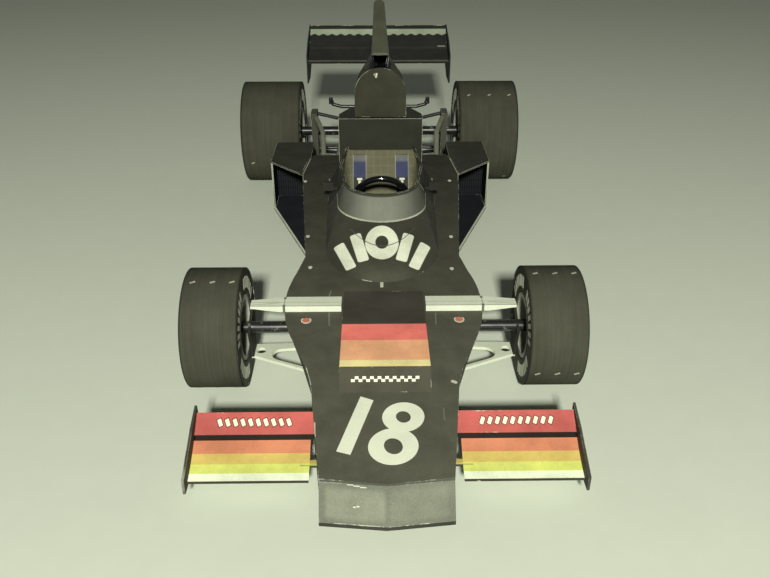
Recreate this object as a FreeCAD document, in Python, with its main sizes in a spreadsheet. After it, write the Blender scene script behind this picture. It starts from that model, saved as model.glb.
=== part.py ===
"""Card scale model, 1:24, of an open wheel racing car of the 1970s.

The model is folded and glued from printed card on two wire axles, and its four wheels turn freely.
Frame: +Z up, the nose towards -Y, +X the car's left side, the origin on the ground under the
middle of the overall length. All sizes are millimetres.

Places along the car are stations: millimetres behind the front axle.
"""
import FreeCAD
import Part
import Sketcher

import math
import os

V = FreeCAD.Vector
doc = FreeCAD.newDocument("racing_car_model")

# ---------------------------------------------------------------------------------------------
# Driving sizes: name, value, what it is
# ---------------------------------------------------------------------------------------------
SIZES = (
    ("wheelbase", 105.5, "front axle to rear axle"),
    ("front_overhang", 41.3, "front axle to the middle of the nose lip"),
    ("rear_overhang", 44.2, "rear axle to the rear edge of the wing endplates"),
    ("card", 0.4, "thickness of the card"),
    ("glue_gap", 0.02, "gap round a rod where it passes through card"),
    ("axle_deck_gap", 0.005, "gap between the front axle's tube and the deck over it"),
    # wheels
    ("front_track", 59.8, "middle of one front tyre to the middle of the other"),
    ("front_tyre_radius", 11.0, "front tyre"),
    ("front_tyre_width", 9.9, "front tyre"),
    ("front_rim_radius", 6.0, "front rim, where the tyre sits"),
    ("rear_track", 61.5, "middle of one rear tyre to the middle of the other"),
    ("rear_tyre_radius", 14.3, "rear tyre"),
    ("rear_tyre_width", 16.5, "rear tyre"),
    ("rear_rim_radius", 7.0, "rear rim, where the tyre sits"),
    ("rim_wall", 0.8, "wall of the rim barrel"),
    ("rim_recess", 0.25, "rim barrel's edge inside the tyre's side"),
    ("hub_radius", 2.2, "outside of the wheel hub"),
    ("hub_setback", 2.65, "hub's inner end, from the inner side of the tyre"),
    ("disc_thickness", 1.0, "wheel disc"),
    ("disc_setback", 2.0, "wheel disc's face, from the outer side of the tyre"),
    ("window_margin", 0.5, "card left between a wheel's window and its hub or barrel"),
    ("axle_radius", 1.1, "axle tube of the front wheels"),
    ("rear_axle_radius", 1.3, "axle tube of the rear wheels"),
    ("stub_radius", 0.8, "axle end that a wheel turns on"),
    ("running_gap", 0.05, "radial clearance of a hub on its stub"),
    ("end_float", 0.2, "clearance at each end of a hub"),
    ("nut_radius", 1.5, "collar that keeps a wheel on"),
    ("nut_width", 0.5, "collar that keeps a wheel on"),
    # tub
    ("ride_height", 2.5, "ground to the underside of the floor"),
    ("nose_height", 7.5, "top of the nose face"),
    ("axle_cover", 1.4, "deck at its fold, over the middle of the front axle"),
    ("deck_height", 16.0, "deck beside the engine"),
    ("scuttle_station", -2.0, "fold where the nose deck meets the main deck"),
    ("nose_half_width", 9.85, "half the width of the nose face"),
    ("neck_half_width", 11.9, "half the width where the nose starts to flare"),
    ("shoulder_half_width", 18.4, "half the width of the deck over the front axle"),
    ("foot_half_width", 14.2, "half the width of the floor there: the sides lean in under the deck"),
    ("waist_half_width", 15.9, "half the width behind the front wheels"),
    ("hip_half_width", 19.6, "half the width at the side pods"),
    ("tail_half_width", 17.6, "half the width at the back of the tub"),
    ("nose_rake", 3.4, "nose face: top edge behind the bottom edge"),
    ("nose_vee", 1.1, "nose face: corners behind the middle"),
    ("lip_height", 0.7, "lip under the nose face"),
    ("lip_depth", 1.0, "lip under the nose face"),
    ("neck_station", -20.0, "where the nose starts to flare"),
    ("waist_station", 23.0, "narrowest place behind the front wheels"),
    ("tail_gap", 26.5, "back of the tub to the rear axle"),
    ("hip_length", 14.5, "widest place of the tub to its back"),
    # raised box on the nose
    ("ramp_half_width", 7.5, "raised box"),
    ("ramp_rise", 0.7, "top of the raised box over the fold of the deck"),
    ("ramp_front", -16.1, "front edge of its flat top"),
    ("ramp_toe", -18.9, "foot of its sloping face"),
    ("ramp_back", 9.3, "its rear edge"),
    # cockpit
    ("bulkhead_gap", 17.0, "cockpit's back to the back of the tub"),
    ("cowl_front", 9.7, "front of the cowl at its base plane"),
    ("cowl_radius", 12.6, "cowl at its base plane"),
    ("cowl_drop", 0.1, "base plane of the cowl under the fold of the deck"),
    ("cowl_gap", 16.0, "rear edge of the cowl to the cockpit's back"),
    ("cowl_rear_half", 14.4, "half the cowl's base width at its rear edge"),
    ("screen_length", 16.2, "windscreen's lower edge, front to rear"),
    ("screen_radius", 9.8, "windscreen's lower edge"),
    ("screen_base", 18.3, "height of the windscreen's lower edge"),
    ("screen_rear_half", 10.2, "half the width of its lower edge at its ends"),
    ("screen_top_length", 11.6, "front of its upper edge to the cowl's rear edge"),
    ("screen_top_radius", 8.2, "windscreen's upper edge"),
    ("screen_top", 22.7, "height of the windscreen's upper edge"),
    ("screen_lean", 4.0, "its ends: how far their tops stand ahead of their feet"),
    ("rim_front_half", 8.5, "half the width of the cockpit's rim at the windscreen"),
    ("rim_rear_half", 8.2, "half the width of the cockpit's rim at the headrest"),
    ("rim_middle_half", 9.6, "half the width of the cockpit's rim where it is widest"),
    ("rim_middle_gap", 5.0, "widest place of the rim behind the cowl's rear edge"),
    ("rim_middle_height", 23.2, "cockpit's rim at its widest place"),
    ("rim_height", 24.0, "cockpit's rim at the headrest"),
    ("side_lap", 5.0, "cockpit sides reach forward of the cowl's rear edge"),
    ("shell_wall", 0.5, "cowl, windscreen and cockpit sides, measured level"),
    ("cockpit_length", 30.0, "cut-out in the deck"),
    ("cockpit_half_width", 9.3, "half the width of the cut-out in the deck"),
    ("seat_half_width", 7.6, "seat"),
    ("seat_drop", 0.6, "top of the seat under the cockpit's rim"),
    ("seat_low", 5.6, "height of the seat's lowest fold"),
    ("seat_reach", 15.5, "seat's lowest fold to the cockpit's back"),
    ("seat_base", 12.8, "seat ahead of its lowest fold"),
    ("seat_base_rise", 2.0, "front edge of the seat over its lowest fold"),
    ("belt_width", 3.2, "shoulder belt"),
    ("belt_half_place", 5.1, "middle of a belt to the middle of the seat"),
    ("belt_thickness", 0.5, "shoulder belt"),
    ("belt_drop", 0.8, "top of the belts under the top of the seat"),
    ("belt_length", 9.2, "shoulder belt, measured upright"),
    ("dash_gap", 23.0, "dashboard's face to the cockpit's back"),
    ("dash_low", 13.9, "lower edge of the dashboard"),
    ("dash_shoulder", 17.0, "dashboard's corner"),
    ("steering_radius", 6.15, "middle of the steering wheel's rim"),
    ("steering_wire", 0.7, "radius of the steering wheel's rim"),
    ("steering_hub", 1.5, "radius of the steering wheel's middle"),
    ("spoke_width", 0.9, "spoke of the steering wheel"),
    ("spoke_thickness", 0.4, "spoke of the steering wheel"),
    ("steering_tilt", 20.0, "degrees that the steering wheel leans"),
    ("steering_height", 16.9, "middle of the steering wheel"),
    ("steering_setback", 16.0, "middle of the steering wheel to the cockpit's back"),
    ("column_radius", 0.5, "steering column"),
    ("mirror_gap", 15.0, "mirrors' front to the cockpit's back"),
    ("mirror_low", 18.6, "underside of the mirrors"),
    ("mirror_inner", 10.9, "inner end of a mirror's housing"),
    ("mirror_outer", 13.3, "outer end of a mirror's housing"),
    ("mirror_tall", 2.0, "mirror's housing"),
    ("mirror_deep", 1.2, "mirror's housing"),
    # headrest, airbox, engine cover
    ("headrest_half_width", 10.1, "headrest box"),
    ("headrest_height", 31.0, "top of the headrest box"),
    ("headrest_shelf", 4.0, "straight part of its sides"),
    ("headrest_length", 9.5, "headrest box"),
    ("spine_half_width", 7.4, "engine cover where it meets the headrest box"),
    ("cover_tail_gap", 4.5, "tail of the engine cover to the rear axle"),
    ("bell_half_width", 6.15, "bell-shaped plate behind the driver"),
    ("bell_rise", 5.5, "middle of the bell's round top over the headrest box"),
    ("bell_setback", 1.6, "bell's face behind the headrest's face"),
    ("bell_edge", 0.15, "bell-shaped plate stands proud of the airbox"),
    ("intake_setback", 4.0, "intake's mouth behind the headrest's face"),
    ("intake_rise", 14.6, "top edge of the intake's mouth over the headrest box"),
    ("intake_half_width", 2.1, "top edge of the intake's mouth"),
    ("crest_rise", 21.4, "highest place of the airbox over the headrest box"),
    ("crest_half_width", 1.4, "airbox at its highest place"),
    ("crest_gap", 7.5, "highest place of the airbox to the rear axle"),
    ("airbox_tail_gap", 0.5, "tail of the airbox to the rear axle"),
    ("airbox_tail_half", 0.8, "half the thickness of the airbox's tail"),
    # side pods
    ("pod_half_width", 28.6, "outside of the side pods"),
    ("pod_height", 16.0, "top of the side pods"),
    ("pod_floor", 2.6, "underside of the side pods"),
    ("pod_sweep", 9.5, "outer front corner of the roof behind its inner corner"),
    ("pod_floor_reach", 23.1, "floor's front corner ahead of the roof's"),
    ("pod_tyre_gap", 1.2, "back of the side pods to the rear tyres"),
    ("pod_inset", 1.3, "inner wall of the side pods inside the tub's widest place"),
    ("rod_inset", 2.4, "radius rod's bend to the inner wall of the side pods"),
    ("rod_bend_gap", 1.5, "radius rod's bend behind the side pods"),
    ("pod_lap", 3.0, "side pods overlap the tub by this much of its length"),
    ("radiator_thickness", 1.5, "radiator core"),
    ("radiator_setback", 6.0, "radiator core to the back of the pod"),
    # engine, gearbox, exhausts
    ("engine_gap", 7.5, "back of the engine to the rear axle"),
    ("engine_low", 3.6, "underside of the engine"),
    ("engine_joint", 9.0, "where the heads start on the block's sides"),
    ("engine_top", 14.0, "top of the engine block"),
    ("sump_half_width", 4.6, "half the width of the engine's underside"),
    ("block_half_width", 5.6, "half the width of the block where the heads start"),
    ("vee_half_width", 4.0, "half the width of the block's top"),
    ("head_out", 4.8, "outer lower edge of a head beyond the block"),
    ("head_rise", 3.4, "outer lower edge of a head over the joint"),
    ("head_top_rise", 2.4, "top edge of a head over the block's top"),
    ("head_margin", 0.9, "a head is shorter than the block by this at each end"),
    ("gearbox_tail", 15.5, "rear axle to the back of the gearbox"),
    ("gearbox_half_width", 3.6, "gearbox"),
    ("gearbox_low", 5.0, "underside of the gearbox at the engine"),
    ("gearbox_top", 1.9, "top of the gearbox over the rear axle's middle"),
    ("pipe_radius", 1.1, "exhaust tailpipe"),
    ("pipe_height", 10.6, "exhaust tailpipe"),
    ("pipe_half", 11.4, "exhaust tailpipe beside the engine"),
    ("pipe_rear_half", 8.2, "exhaust tailpipe behind the axle"),
    ("port_pitch", 3.9, "one exhaust port to the next"),
    ("port_radius", 0.6, "exhaust port pipe"),
    # front wing
    ("wing_half_span", 30.2, "outside of the front endplates"),
    ("wing_root", 11.7, "inner end of the front wing to the middle of the nose"),
    ("spar_reach", 1.5, "spar inside the inner end of the front wing"),
    ("wing_front", -33.6, "leading edge of the front wing"),
    ("wing_chord", 6.8, "front wing, measured level"),
    ("wing_front_height", 4.3, "leading edge of the front wing"),
    ("wing_rise", 2.6, "trailing edge over the leading edge"),
    ("slot_gap", 0.6, "wing's trailing edge to the flap's lower edge"),
    ("flap_chord", 3.2, "flap, measured level"),
    ("flap_drop", 0.05, "flap's upper edge under the deck beside it"),
    ("plate_front_reach", 1.4, "endplate ahead of the front wing"),
    ("plate_rear_reach", 0.7, "endplate behind the flap"),
    ("plate_low", 3.6, "underside of the front endplates"),
    # suspension
    ("upright_gap", 0.4, "upright to the tyre beside it"),
    ("upright_thickness", 0.5, "front upright"),
    ("arm_chord", 3.6, "upper arm's fairing on the deck"),
    ("arm_front", 2.5, "front edge of the upper arm's fairing"),
    ("arm_end_chord", 2.5, "upper arm's fairing at the upright"),
    ("arm_end_thickness", 0.5, "upper arm's fairing at the upright"),
    ("arm_rise", 1.4, "top of the upper arm's fairing over the fold of the deck"),
    ("arm_ramp_gap", 0.3, "upper arm's inner end to the raised box"),
    ("wishbone_height", 4.3, "underside of the lower wishbone"),
    ("wishbone_thickness", 0.6, "lower wishbone"),
    ("wishbone_hole_radius", 0.95, "round hole beside the upright"),
    ("wishbone_window_radius", 1.9, "outer end of the opening between the wishbone's legs"),
    ("rear_upright_gap", 2.6, "rear upright to the tyre beside it"),
    ("rear_upright_thickness", 1.8, "rear upright"),
    ("rear_upright_low", 7.0, "underside of the rear upright"),
    ("rear_upright_rise", 6.2, "top of the rear upright over the axle's middle"),
    ("link_radius", 0.5, "rods of the rear suspension"),
    ("radius_rod_radius", 0.7, "radius rods, which run forward from the rear uprights"),
    ("bar_radius", 0.5, "anti-roll bar"),
    ("bar_height", 6.4, "anti-roll bar over the rear axle's middle"),
    # rear wing
    ("rear_wing_half_span", 22.8, "outside of the rear endplates"),
    ("rear_wing_chord", 18.0, "rear wing, measured level"),
    ("rear_wing_height", 28.0, "leading edge of the rear wing"),
    ("rear_wing_rise", 8.4, "trailing edge above the leading edge"),
    ("rear_wing_hollow", 0.9, "depth of the hollow along the rear wing's upper side"),
    ("rear_wing_thickness", 1.5, "rear wing at its middle"),
    ("rear_wing_inset", 0.3, "wing's trailing edge ahead of the endplates'"),
    ("post_thickness", 1.2, "post of the rear wing"),
)

sheet = doc.addObject("Spreadsheet::Sheet", "Sizes")
for row, (alias, value, note) in enumerate(SIZES, start=1):
    sheet.set("A%d" % row, alias)
    sheet.set("B%d" % row, str(value))
    sheet.set("C%d" % row, note)
    sheet.setAlias("B%d" % row, alias)
doc.recompute()


class Length:
    """A size in millimetres together with the spreadsheet formula that gives it."""

    def __init__(self, value, formula):
        self.value = float(value)
        self.formula = formula

    def __float__(self):
        return self.value

    def __neg__(self):
        return Length(-self.value, "-(%s)" % self.formula)

    def __add__(self, other):
        return Length(self.value + float(other), "(%s + %s)" % (self.formula, formula_of(other)))

    def __sub__(self, other):
        return Length(self.value - float(other), "(%s - %s)" % (self.formula, formula_of(other)))

    def __mul__(self, other):
        return Length(self.value * float(other), "(%s * %s)" % (self.formula, formula_of(other)))

    def __truediv__(self, other):
        return Length(self.value / float(other), "(%s / %s)" % (self.formula, formula_of(other)))


def formula_of(value):
    return value.formula if isinstance(value, Length) else "(%r)" % float(value)


def size(alias):
    """The sheet's value of one driving size."""
    return Length(sheet.get(alias), "Sizes.%s" % alias)


# ---------------------------------------------------------------------------------------------
# Places that follow from the driving sizes
# ---------------------------------------------------------------------------------------------
card = size("card")
overall_length = size("front_overhang") + size("wheelbase") + size("rear_overhang")
front_axle_y = size("front_overhang") - overall_length / 2
lip = -size("front_overhang")
rear_axle = size("wheelbase")
tail = rear_axle - size("tail_gap")
hip = tail - size("hip_length")
bulkhead = tail - size("bulkhead_gap")
headrest_end = bulkhead + size("headrest_length")
cowl_rear = bulkhead - size("cowl_gap")
crest = rear_axle - size("crest_gap")
airbox_tail = rear_axle - size("airbox_tail_gap")
cover_tail = rear_axle - size("cover_tail_gap")
engine_rear = rear_axle - size("engine_gap")
gearbox_rear = rear_axle + size("gearbox_tail")
pod_front = hip + size("pod_sweep")
pod_rear = rear_axle - size("rear_tyre_radius") - size("pod_tyre_gap")
wing_end = rear_axle + size("rear_overhang")

front_axle_height = size("front_tyre_radius")
rear_axle_height = size("rear_tyre_radius")
floor_top = size("ride_height") + card
scuttle = front_axle_height + size("axle_cover")
ramp_top = scuttle + size("ramp_rise")
cowl_base = scuttle - size("cowl_drop")
box_top = size("headrest_height")
bell_centre = box_top + size("bell_rise")
intake_top = box_top + size("intake_rise")
crest_height = box_top + size("crest_rise")

WIDE = 60.0      # wider and taller than any piece, for the shapes that trim the others
LONG = 400.0     # longer than the car, for the same


def deck_top(station):
    """Height of the deck's upper side at a station."""
    fold = size("scuttle_station")
    if float(station) < float(fold):
        run = fold - lip - size("nose_rake") - size("nose_vee")
        return scuttle - (fold - station) * (scuttle - size("nose_height")) / run
    if float(station) < float(hip):
        return scuttle - (fold - station) * (size("deck_height") - scuttle) / (hip - fold)
    return size("deck_height")


# ---------------------------------------------------------------------------------------------
# Bodies and primitives bound to the sheet
# ---------------------------------------------------------------------------------------------
nodes = {}


def keep(label, piece):
    """Names an object of the document as a sub-part."""
    piece.Label = label
    nodes[label] = piece
    return piece


def bind(piece, prop, length):
    piece.setExpression(prop, formula_of(length))


def place(piece, x, y, z):
    for tag, length in (("x", x), ("y", y), ("z", z)):
        bind(piece, "Placement.Base." + tag, length)


def origin_plane(body, role):
    return next(item for item in body.Origin.OriginFeatures if item.Role == role)


def new_body(label):
    body = doc.addObject("PartDesign::Body", label)
    body.Label = label
    return body


def new_sketch(body, role):
    """An empty sketch on one of the body's own planes."""
    sketch = body.newObject("Sketcher::SketchObject", body.Label + "_sketch")
    sketch.AttachmentSupport = [(origin_plane(body, role), "")]
    sketch.MapMode = "FlatFace"
    return sketch


def tie(sketch, name, rule, length):
    """Adds one dimension to a sketch and binds it to the sheet."""
    sketch.renameConstraint(sketch.addConstraint(rule), name)
    bind(sketch, "Constraints." + name, length)


def bound_sketch(body, role, points, sags=None):
    """A closed outline with every corner tied to the sheet.

    sags maps an edge's number to how far that edge's middle lies off its chord, on the right-hand
    side of the way from its start to its end; the other edges are straight.
    """
    sketch = new_sketch(body, role)
    sags = sags or {}
    corners = [V(float(along), float(up), 0) for along, up in points]
    for edge, (start, end) in enumerate(zip(corners, corners[1:] + corners[:1])):
        if edge in sags:
            way = (end - start).normalize()
            middle = (start + end) * 0.5 + V(way.y, -way.x, 0) * float(sags[edge])
            sketch.addGeometry(Part.Arc(start, middle, end), False)
        else:
            sketch.addGeometry(Part.LineSegment(start, end), False)
    for edge in range(len(corners)):
        follower = (edge + 1) % len(corners)
        ends = [end_at(sketch, number, corners[follower]) for number in (edge, follower)]
        sketch.addConstraint(Sketcher.Constraint("Coincident", edge, ends[0], follower, ends[1]))
    for edge, (along, up) in enumerate(points):
        end = end_at(sketch, edge, corners[edge])
        for tag, kind, length in (("x", "DistanceX", along), ("y", "DistanceY", up)):
            rule = Sketcher.Constraint(kind, -1, 1, edge, end, float(length))
            tie(sketch, "corner%d%s" % (edge, tag), rule, length)
    for edge, sag in sags.items():
        start, end = points[edge], points[(edge + 1) % len(points)]
        run, rise = end[0] - start[0], end[1] - start[1]
        depth = sag if float(sag) > 0 else -sag
        radius = ((run * run + rise * rise) / 4 + depth * depth) / (depth * 2)
        tie(sketch, "arc%d" % edge, Sketcher.Constraint("Radius", edge, float(radius)), radius)
    return sketch


def end_at(sketch, edge, corner):
    """Which end of an edge lies at a corner: 1 is its start and 2 its end."""
    return min((1, 2), key=lambda end: (sketch.getPoint(edge, end) - corner).Length)


def cut_through(body, sketch, reach):
    """Pockets a sketch to both sides of its plane, and makes sure that it removed something."""
    before = body.Shape.Volume
    pocket = body.newObject("PartDesign::Pocket", body.Label + "_pocket")
    pocket.Profile = sketch
    pocket.Midplane = True
    bind(pocket, "Length", reach)
    doc.recompute()
    if not body.Shape.Volume < before:
        raise RuntimeError(body.Label + ": a pocket cut nothing")
    return pocket


def spun_body(label, profile):
    """A body of revolution about the X direction: (along X, radius) corners."""
    body = new_body(label)
    turn = body.newObject("PartDesign::Revolution", label + "_turn")
    turn.Profile = bound_sketch(body, "XY_Plane", profile)
    turn.ReferenceAxis = (turn.Profile[0], ["H_Axis"])
    turn.Angle = 360
    doc.recompute()
    return body


def prism(label, role, outline, low, high, side=1, sags=None):
    """A body padded from low to high along its plane's normal, mirrored to the right if side is -1.

    Outlines are (station, z) on YZ_Plane, (x, z) on XZ_Plane and (x, station) on XY_Plane.
    """
    body = new_body(label)
    if role != "YZ_Plane" and side < 0:
        outline = [(-along, up) for along, up in outline]
    pad = body.newObject("PartDesign::Pad", label + "_pad")
    pad.Profile = bound_sketch(body, role, outline, sags)
    pad.Midplane = True
    bind(pad, "Length", high - low)
    middle = (high + low) / 2
    moved = {"YZ_Plane": (middle * side, front_axle_y, 0.0), "XZ_Plane": (0.0, front_axle_y + middle, 0.0),
             "XY_Plane": (0.0, front_axle_y, middle)}
    place(body, *moved[role])
    doc.recompute()
    return body


def bore(body, station, height, radius, reach):
    """A round hole across the car through a body that was padded on YZ_Plane."""
    sketch = new_sketch(body, "YZ_Plane")
    sketch.addGeometry(Part.Circle(V(float(station), float(height), 0), V(0, 0, 1), float(radius)), False)
    tie(sketch, "along", Sketcher.Constraint("DistanceX", -1, 1, 0, 3, float(station)), station)
    tie(sketch, "up", Sketcher.Constraint("DistanceY", -1, 1, 0, 3, float(height)), height)
    tie(sketch, "bore", Sketcher.Constraint("Radius", 0, float(radius)), radius)
    cut_through(body, sketch, reach)


def bound_box(label, low, high, side=1):
    """A box between two (x, station, z) corners, mirrored to the right if side is -1."""
    piece = doc.addObject("Part::Box", label)
    piece.Label = label
    for prop, start, end in zip(("Length", "Width", "Height"), low, high):
        bind(piece, prop, end - start)
    place(piece, low[0] if side > 0 else -high[0], front_axle_y + low[1], low[2])
    return piece


def keep_both(label, make):
    """One sub-part of two solids: make(label, side) builds it for the left and for the right."""
    pair = doc.addObject("Part::Compound", label)
    pair.Links = [make(label + "_left", 1), make(label + "_right", -1)]
    doc.recompute()
    return keep(label, pair)


# ---------------------------------------------------------------------------------------------
# Shapes for the folded skins, which run into each other along shared surfaces
# ---------------------------------------------------------------------------------------------
def at(x, station, z):
    """The point at a station of the car."""
    return V(float(x), float(station) + float(front_axle_y), float(z))


def face_of(points):
    return Part.Face(Part.makePolygon(list(points) + [points[0]]))


def across(profile, low=-WIDE, high=WIDE):
    """A side profile of (station, z) points, extruded across the car."""
    return face_of([at(low, *point) for point in profile]).extrude(V(float(high) - float(low), 0, 0))


def upright_prism(outline, low, high):
    """A plan outline of (x, station) points, extruded from one height to another."""
    face = face_of([at(x, station, low) for x, station in outline])
    return face.extrude(V(0, 0, float(high) - float(low)))


def lengthwise(section, front, rear):
    """A cross section of (x, z) points, extruded from one station to another."""
    face = face_of([at(x, front, z) for x, z in section])
    return face.extrude(V(0, float(rear) - float(front), 0))


def block(low, high):
    """A box between two opposite corners."""
    return Part.makeBox(high.x - low.x, high.y - low.y, high.z - low.z, low)


def section_wire(section, station):
    return Part.makePolygon([at(x, station, z) for x, z in section + section[:1]])


def mirrored_section(half):
    """A closed cross section from its right-hand points, listed from bottom to top."""
    return list(half) + [(-float(x), z) for x, z in reversed(half)]


def ruled(*wires):
    """A solid with straight sides between cross sections of the same form."""
    solid = Part.makeLoft(list(wires), True, True)
    if solid.Volume < 0:
        solid.reverse()
    return solid


def rod(points, radius):
    """A round rod through the points, with ball-shaped corners."""
    radius = float(radius)
    pieces = []
    for start, end in zip(points, points[1:]):
        pieces.append(Part.makeCylinder(radius, (end - start).Length, start, end - start))
    pieces += [Part.makeSphere(radius, corner) for corner in points[1:-1]]
    return pieces[0].fuse(pieces[1:]) if len(pieces) > 1 else pieces[0]


def to_right(shape):
    """The mirror image on the other side of the car."""
    return shape.mirror(V(0, 0, 0), V(1, 0, 0))


def single(shape):
    """The one solid of a boolean's result, with its faces merged."""
    shape = shape.removeSplitter()
    return shape.Solids[0] if len(shape.Solids) == 1 else shape


def keep_shape(label, shape):
    """A sub-part whose shape is worked out here, as an object of the document."""
    piece = doc.addObject("Part::Feature", label)
    piece.Shape = single(shape)
    return keep(label, piece)


def keep_shape_pair(label, left_shape):
    """The same piece for both sides of the car, as two sub-parts."""
    keep_shape(label + "_left", left_shape)
    keep_shape(label + "_right", to_right(left_shape))


def keep_shape_both(label, left_shape):
    """The same piece for both sides of the car, in one sub-part."""
    keep_shape(label, Part.makeCompound([single(left_shape), single(to_right(left_shape))]))


# ---------------------------------------------------------------------------------------------
# Wheels: a tyre on a rim with five windows, for each corner of the car
# ---------------------------------------------------------------------------------------------
WINDOWS = 5
WINDOW_SLOPE = 0.33      # half the angle that a window takes, as height over radius
AXLES = (("front", front_axle_y), ("rear", front_axle_y + rear_axle))      # end of the car, place
SIDES = (("left", 1), ("right", -1))


def tyre_and_rim(end, axle_y, side_name, side):
    """One wheel, drawn about its own middle; side is +1 on the left, -1 on the right."""
    label = "%s_%s" % (end, side_name)
    width, radius = size(end + "_tyre_width"), size(end + "_tyre_radius")
    seat, half = size(end + "_rim_radius"), width / 2
    tyre = spun_body(label + "_tyre", [(-half, seat), (half, seat), (half, radius), (-half, radius)])
    bore_radius = size("stub_radius") + size("running_gap")
    barrel = seat - size("rim_wall")
    edge = half - size("rim_recess")
    disc_out = half - size("disc_setback")
    disc_in = disc_out - size("disc_thickness")
    hub_in = size("hub_setback") - half
    hub_out = disc_out + size("disc_thickness")
    hub = size("hub_radius")
    profile = [(hub_in, bore_radius), (hub_out, bore_radius), (hub_out, hub), (disc_out, hub),
               (disc_out, barrel), (edge, barrel), (edge, seat), (-edge, seat), (-edge, barrel),
               (disc_in, barrel), (disc_in, hub), (hub_in, hub)]
    rim = spun_body(label + "_rim", [(along * side, up) for along, up in profile])
    inner, outer = hub + size("window_margin"), barrel - size("window_margin")
    window = bound_sketch(rim, "YZ_Plane", [(inner, inner * -WINDOW_SLOPE), (outer, outer * -WINDOW_SLOPE),
                                            (outer, outer * WINDOW_SLOPE), (inner, inner * WINDOW_SLOPE)])
    pocket = cut_through(rim, window, width * 2)
    one_window = rim.Shape.Volume
    pattern = rim.newObject("PartDesign::PolarPattern", label + "_windows")
    pattern.Originals = [pocket]
    pattern.Axis = (origin_plane(rim, "X_Axis"), [""])
    pattern.Angle = 360
    pattern.Occurrences = WINDOWS
    rim.Tip = pattern
    doc.recompute()
    if not rim.Shape.Volume < one_window:
        raise RuntimeError(label + ": the other windows were not cut")
    for piece, kind in ((tyre, "_tyre"), (rim, "_rim")):
        place(piece, size(end + "_track") / 2 * side, axle_y, radius)
        keep(label + kind, piece)


def axle(end, tube_radius, axle_y):
    """A wire axle: tube, stub ends that the hubs turn on, and collars outside them."""
    half_track = size(end + "_track") / 2
    half = size(end + "_tyre_width") / 2
    shoulder = half_track - half + size("hub_setback") - size("end_float")
    hub_end = half_track + half - size("disc_setback") + size("disc_thickness")
    collar = hub_end + size("end_float")
    tip = collar + size("nut_width")
    left = [(tip, 0.0), (tip, size("nut_radius")), (collar, size("nut_radius")),
            (collar, size("stub_radius")), (shoulder, size("stub_radius")), (shoulder, tube_radius)]
    right = [(-along, up) for along, up in reversed(left)]
    body = keep(end + "_axle", spun_body(end + "_axle", left + right))
    place(body, 0.0, axle_y, size(end + "_tyre_radius"))


for end, axle_y in AXLES:
    for side_name, side in SIDES:
        tyre_and_rim(end, axle_y, side_name, side)
axle("front", size("axle_radius"), AXLES[0][1])
axle("rear", size("rear_axle_radius"), AXLES[1][1])


# ---------------------------------------------------------------------------------------------
# Tub: floor, sides, deck and rear bulkhead, folded to one plan outline and one side profile
# ---------------------------------------------------------------------------------------------
def mirror_outline(left_edges):
    """A closed plan face from the edges of its left-hand side."""
    wires = Part.sortEdges(left_edges + [to_right(edge) for edge in left_edges])
    return Part.Face(Part.Wire(wires[0]))


def tub_plan(shoulder):
    """The tub seen from above: a slim nose, shoulders over the axle, a waist and hips."""
    nose, neck, waist_half = size("nose_half_width"), size("neck_half_width"), size("waist_half_width")
    neck_station, waist_station = size("neck_station"), size("waist_station")
    tip = at(0, lip, 0)
    lip_corner = at(nose, lip + size("nose_vee"), 0)
    nose_corner = at(nose, lip + size("nose_vee") + size("nose_rake"), 0)
    neck_point = at(neck, neck_station, 0)
    flare_point = at(neck + (shoulder - neck) / 2, neck_station * 0.45, 0)
    flare_middle = (neck_point + flare_point) * 0.5 - V(0.5, 0, 0)
    shoulder_front = at(shoulder, 4.0, 0)
    shoulder_rear = at((shoulder + waist_half) / 2, waist_station - 6.5, 0)
    waist = at(waist_half, waist_station, 0)
    hip_point = at(size("hip_half_width"), hip, 0)
    tail_point = at(size("tail_half_width"), tail, 0)
    tail_middle = (hip_point + tail_point) * 0.5 + V(0.7, 0, 0)
    straight, bend = Part.LineSegment, Part.Arc
    edges = [straight(tip, lip_corner), straight(lip_corner, nose_corner), straight(nose_corner, neck_point),
             bend(neck_point, flare_middle, flare_point), bend(flare_point, shoulder_front, shoulder_rear),
             straight(shoulder_rear, waist), straight(waist, hip_point),
             bend(hip_point, tail_middle, tail_point), straight(tail_point, at(0, tail, 0))]
    return mirror_outline([edge.toShape() for edge in edges])


def swept_nose(profile, stretch=1.0):
    """A side profile drawn back to both sides of the middle, as the V of the nose runs."""
    face = face_of([at(0, *point) for point in profile])
    left = face.extrude(V(float(size("nose_half_width")), float(size("nose_vee")), 0) * stretch)
    return left.fuse(to_right(left)).removeSplitter()


def tub_space(inset):
    """The tub's space: its plan is that of the floor below and widens to that of the deck."""
    plans = [tub_plan(size("foot_half_width")), tub_plan(size("shoulder_half_width"))]
    if inset:
        plans = [plan.makeOffset2D(-float(inset), join=2) for plan in plans]
    low, high = [plan.OuterWire for plan in plans]
    low.translate(V(0, 0, float(size("ride_height"))))
    high.translate(V(0, 0, float(scuttle)))
    above = Part.Face(high).extrude(V(0, 0, WIDE))
    return ruled(low, high).fuse(above).removeSplitter()


tub_block, inner_block = tub_space(0), tub_space(card)
deck_line = [(-WIDE, deck_top(-WIDE)), (size("scuttle_station"), scuttle), (hip, size("deck_height")),
             (LONG, size("deck_height"))]
underside_line = [(station, height - card) for station, height in deck_line]
below_deck = across([(LONG, -1.0), (-WIDE, -1.0)] + deck_line)
under_deck = across([(LONG, floor_top), (-WIDE, floor_top)] + underside_line)

face_slope = float(size("nose_rake") / (size("nose_height") - floor_top))
face_depth = card * math.sqrt(1 + face_slope ** 2)


def face_back(height):
    """Station and height of a point on the back of the nose face, on the middle line."""
    return lip + face_depth + (height - float(floor_top)) * face_slope, height


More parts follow.
